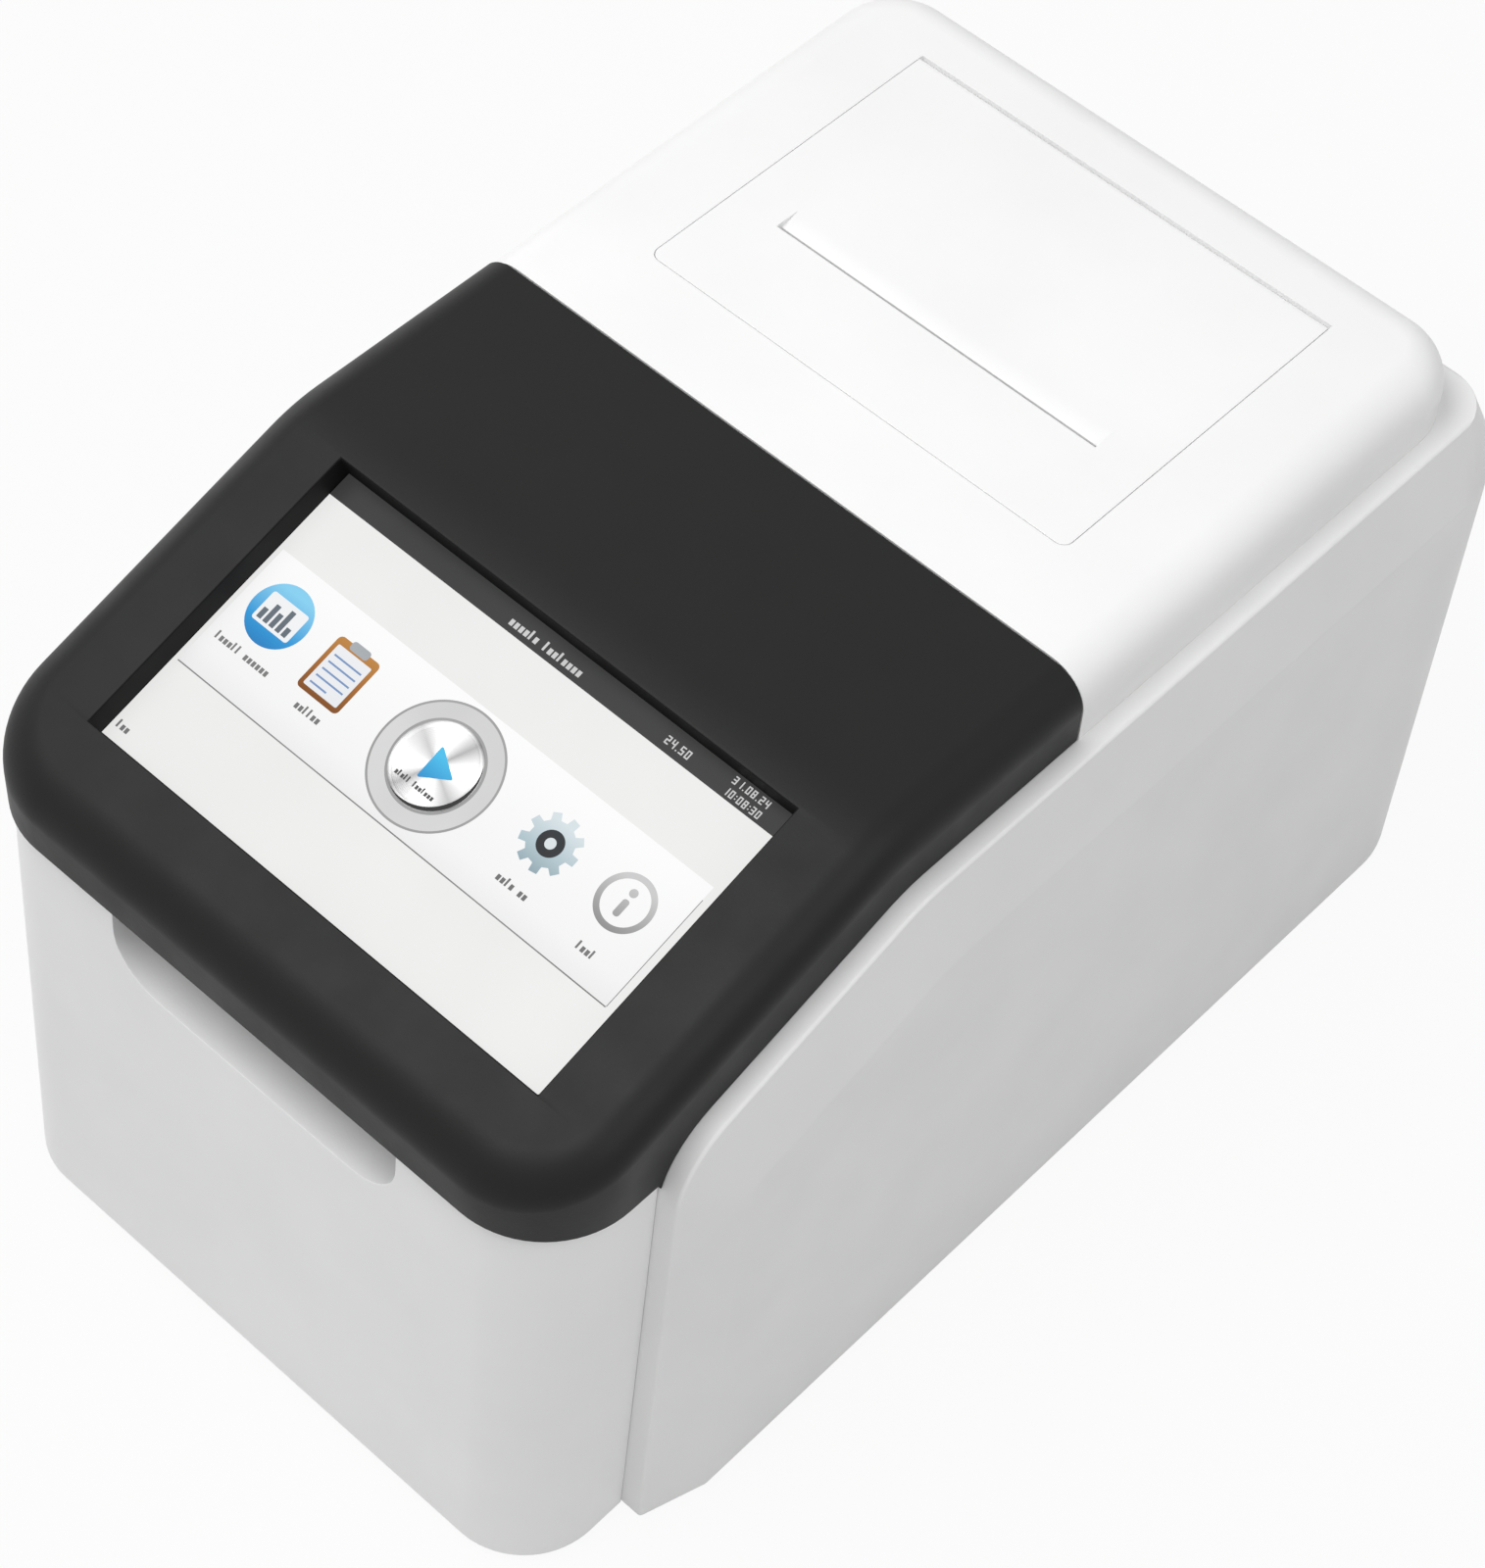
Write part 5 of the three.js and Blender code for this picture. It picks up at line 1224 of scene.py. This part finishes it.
def make_button(x, y):
    """A play triangle on a turned steel cap in a pale ring."""
    printed("button_rim", ring_outlines(x, y, CAP_RADIUS, RIM_RADIUS, sides=96),
            lit("ring_grey", "d2d2d2", "dedede"), low=0.04, high=0.2)
    edges = (ring_outlines(x, y, RIM_RADIUS - 0.5, RIM_RADIUS + 0.1, sides=96)
             + ring_outlines(x, y, CAP_RADIUS, CAP_RADIUS + 0.7, sides=96))
    printed("button_rim_edge", edges, lit("ring_edge_grey", "a8a8a8", "9c9c9c"), low=0.18, high=0.24)
    rings = [[picture_point(*point, height)
              for point in disc_outline(x, y, CAP_RADIUS * share, sides=CAP_SIDES)]
             for share, height in CAP_PROFILE]
    cap = shaded(loft("button_cap", rings))
    dress(cap, turned_steel(x, y), "case")
    printed("button_shade", crescent_strips(x, y), lit("shade_black", "2c2c2c", "363636"),
            low=0.62, high=0.66)
    printed("button_words", greeked("xtxtt txxtxxx", x - 0.8, y + 6.7, 1.6),
            lit("button_ink", "4c4c4c", "5a5a5a"), low=0.42, high=0.48)
    corner = 0.4
    triangle = rounded([(x - 2.2, y - 5, corner), (x + 6, y + 0.2, corner), (x - 2, y + 5, corner)],
                       steps=4)
    blue = faded("play_blue", [(0, "1377c4"), (1, "4fc3f0")], *span_round(y, reach=5))
    printed("button_triangle", [triangle], blue, low=0.38, high=0.5)


make_case()
make_cover()
make_screen()
make_results_icon(*RESULTS)
make_records_icon(*RECORDS)
make_button(*START)
make_settings_icon(*SETTINGS)
make_information_icon(*INFORMATION)
make_fascia()
make_drawer_front()
make_door()


# Stage: floor, light and camera
FLOOR_RADIUS = 3
FLOOR_TONES = ([0.58, 0.58, 0.58, 1], [0.6, 0.6, 0.6, 1])
FLOOR_SHOWN_WHITE = 0.93
ROOM_STRENGTH = 0.38
BACKDROP = (0.96, 0.96, 0.96, 1)
AIM = (0, 0, 0.1)
# Softboxes: place and side in metres, power in watts
LAMPS = (
    ("front_softbox", (-0.15, -0.8, 1.6), 10.7, 1.0),
    ("left_softbox", (-0.6, -0.45, 1.6), 6.4, 1.0),
    ("right_softbox", (1.2, -0.1, 1.4), 6.9, 1.2),
    ("low_left_softbox", (-1.5, 0.2, 0.5), 4.2, 1.0),
)


def seen_rays(tree):
    """1 for the rays that show the background: to the camera, in gloss and through glass."""
    path = tree.nodes.new("ShaderNodeLightPath")
    factor = path.outputs["Is Camera Ray"]
    for ray in ("Is Glossy Ray", "Is Transmission Ray"):
        either = tree.nodes.new("ShaderNodeMath")
        either.operation = "MAXIMUM"
        tree.links.new(factor, either.inputs[0])
        tree.links.new(path.outputs[ray], either.inputs[1])
        factor = either.outputs[0]
    return factor


def make_floor():
    """A pale floor that shows nearly white and keeps a faint shadow."""
    bpy.ops.mesh.primitive_circle_add(vertices=96, radius=FLOOR_RADIUS, fill_type="NGON",
                                      location=(0, 0, 0))
    floor = bpy.context.object
    floor.name = "studio_floor"
    shader = Shader("floor_paint")
    cloud = shader.noise(scale=3)
    shader.colour(shader.mixed(shader.ranged(cloud, 0, 1), *FLOOR_TONES))
    shader.set(Roughness=0.9, Specular_IOR_Level=0.0)
    glow = shader.node("Emission")
    blend = shader.node("MixShader")
    share = shader.node("Math", operation="MULTIPLY")
    share.inputs[1].default_value = FLOOR_SHOWN_WHITE
    shader.link(seen_rays(shader.tree), share.inputs[0])
    shader.link(share.outputs[0], blend.inputs[0])
    shader.link(shader.base.outputs[0], blend.inputs[1])
    shader.link(glow.outputs[0], blend.inputs[2])
    shader.link(blend.outputs[0], shader.tree.nodes["Material Output"].inputs["Surface"])
    floor.data.materials.append(shader.material)


def make_world():
    world = bpy.data.worlds.new("studio")
    bpy.context.scene.world = world
    world.use_nodes = True
    tree = world.node_tree
    room = tree.nodes["Background"]
    room.inputs["Color"].default_value = (1, 1, 1, 1)
    room.inputs["Strength"].default_value = ROOM_STRENGTH
    shown = tree.nodes.new("ShaderNodeBackground")
    shown.inputs["Color"].default_value = BACKDROP
    shown.inputs["Strength"].default_value = 1
    either = tree.nodes.new("ShaderNodeMixShader")
    tree.links.new(seen_rays(tree), either.inputs[0])
    tree.links.new(room.outputs[0], either.inputs[1])
    tree.links.new(shown.outputs[0], either.inputs[2])
    tree.links.new(either.outputs[0], tree.nodes["World Output"].inputs["Surface"])


def make_lamps():
    for name, place, power, size in LAMPS:
        lamp = bpy.data.lights.new(name, "AREA")
        lamp.shape = "SQUARE"
        lamp.size = size
        lamp.energy = power
        holder = bpy.data.objects.new(name, lamp)
        holder.location = place
        aim = Vector(AIM) - Vector(place)
        holder.rotation_mode = "QUATERNION"
        holder.rotation_quaternion = aim.to_track_quat("-Z", "Y")
        bpy.context.scene.collection.objects.link(holder)


# Camera, from a fit to the photograph: focal length in pixels, place in metres, axes
FOCAL_PIXELS = 4118.1
LONG_SIDE_PIXELS = 1600
SENSOR = 36
CAMERA_PLACE = (0.42169, -0.52218, 0.95849)
CAMERA_RIGHT = Vector((0.73228012, 0.67911997, 0.05061509))
CAMERA_DOWN = Vector((0.56376744, -0.56284755, -0.60445753))
CAMERA_AHEAD = Vector((-0.3820106, 0.47116738, -0.7950278))


def make_camera():
    camera = bpy.data.cameras.new("camera")
    camera.sensor_fit = "AUTO"
    camera.sensor_width = SENSOR
    camera.lens = FOCAL_PIXELS * SENSOR / LONG_SIDE_PIXELS
    holder = bpy.data.objects.new("camera", camera)
    turn = Matrix((CAMERA_RIGHT, -CAMERA_DOWN, -CAMERA_AHEAD)).transposed()
    holder.matrix_world = Matrix.Translation(CAMERA_PLACE) @ turn.to_4x4()
    bpy.context.scene.collection.objects.link(holder)
    bpy.context.scene.camera = holder


make_floor()
make_world()
make_lamps()
make_camera()
bpy.context.scene.view_settings.view_transform = "Standard"
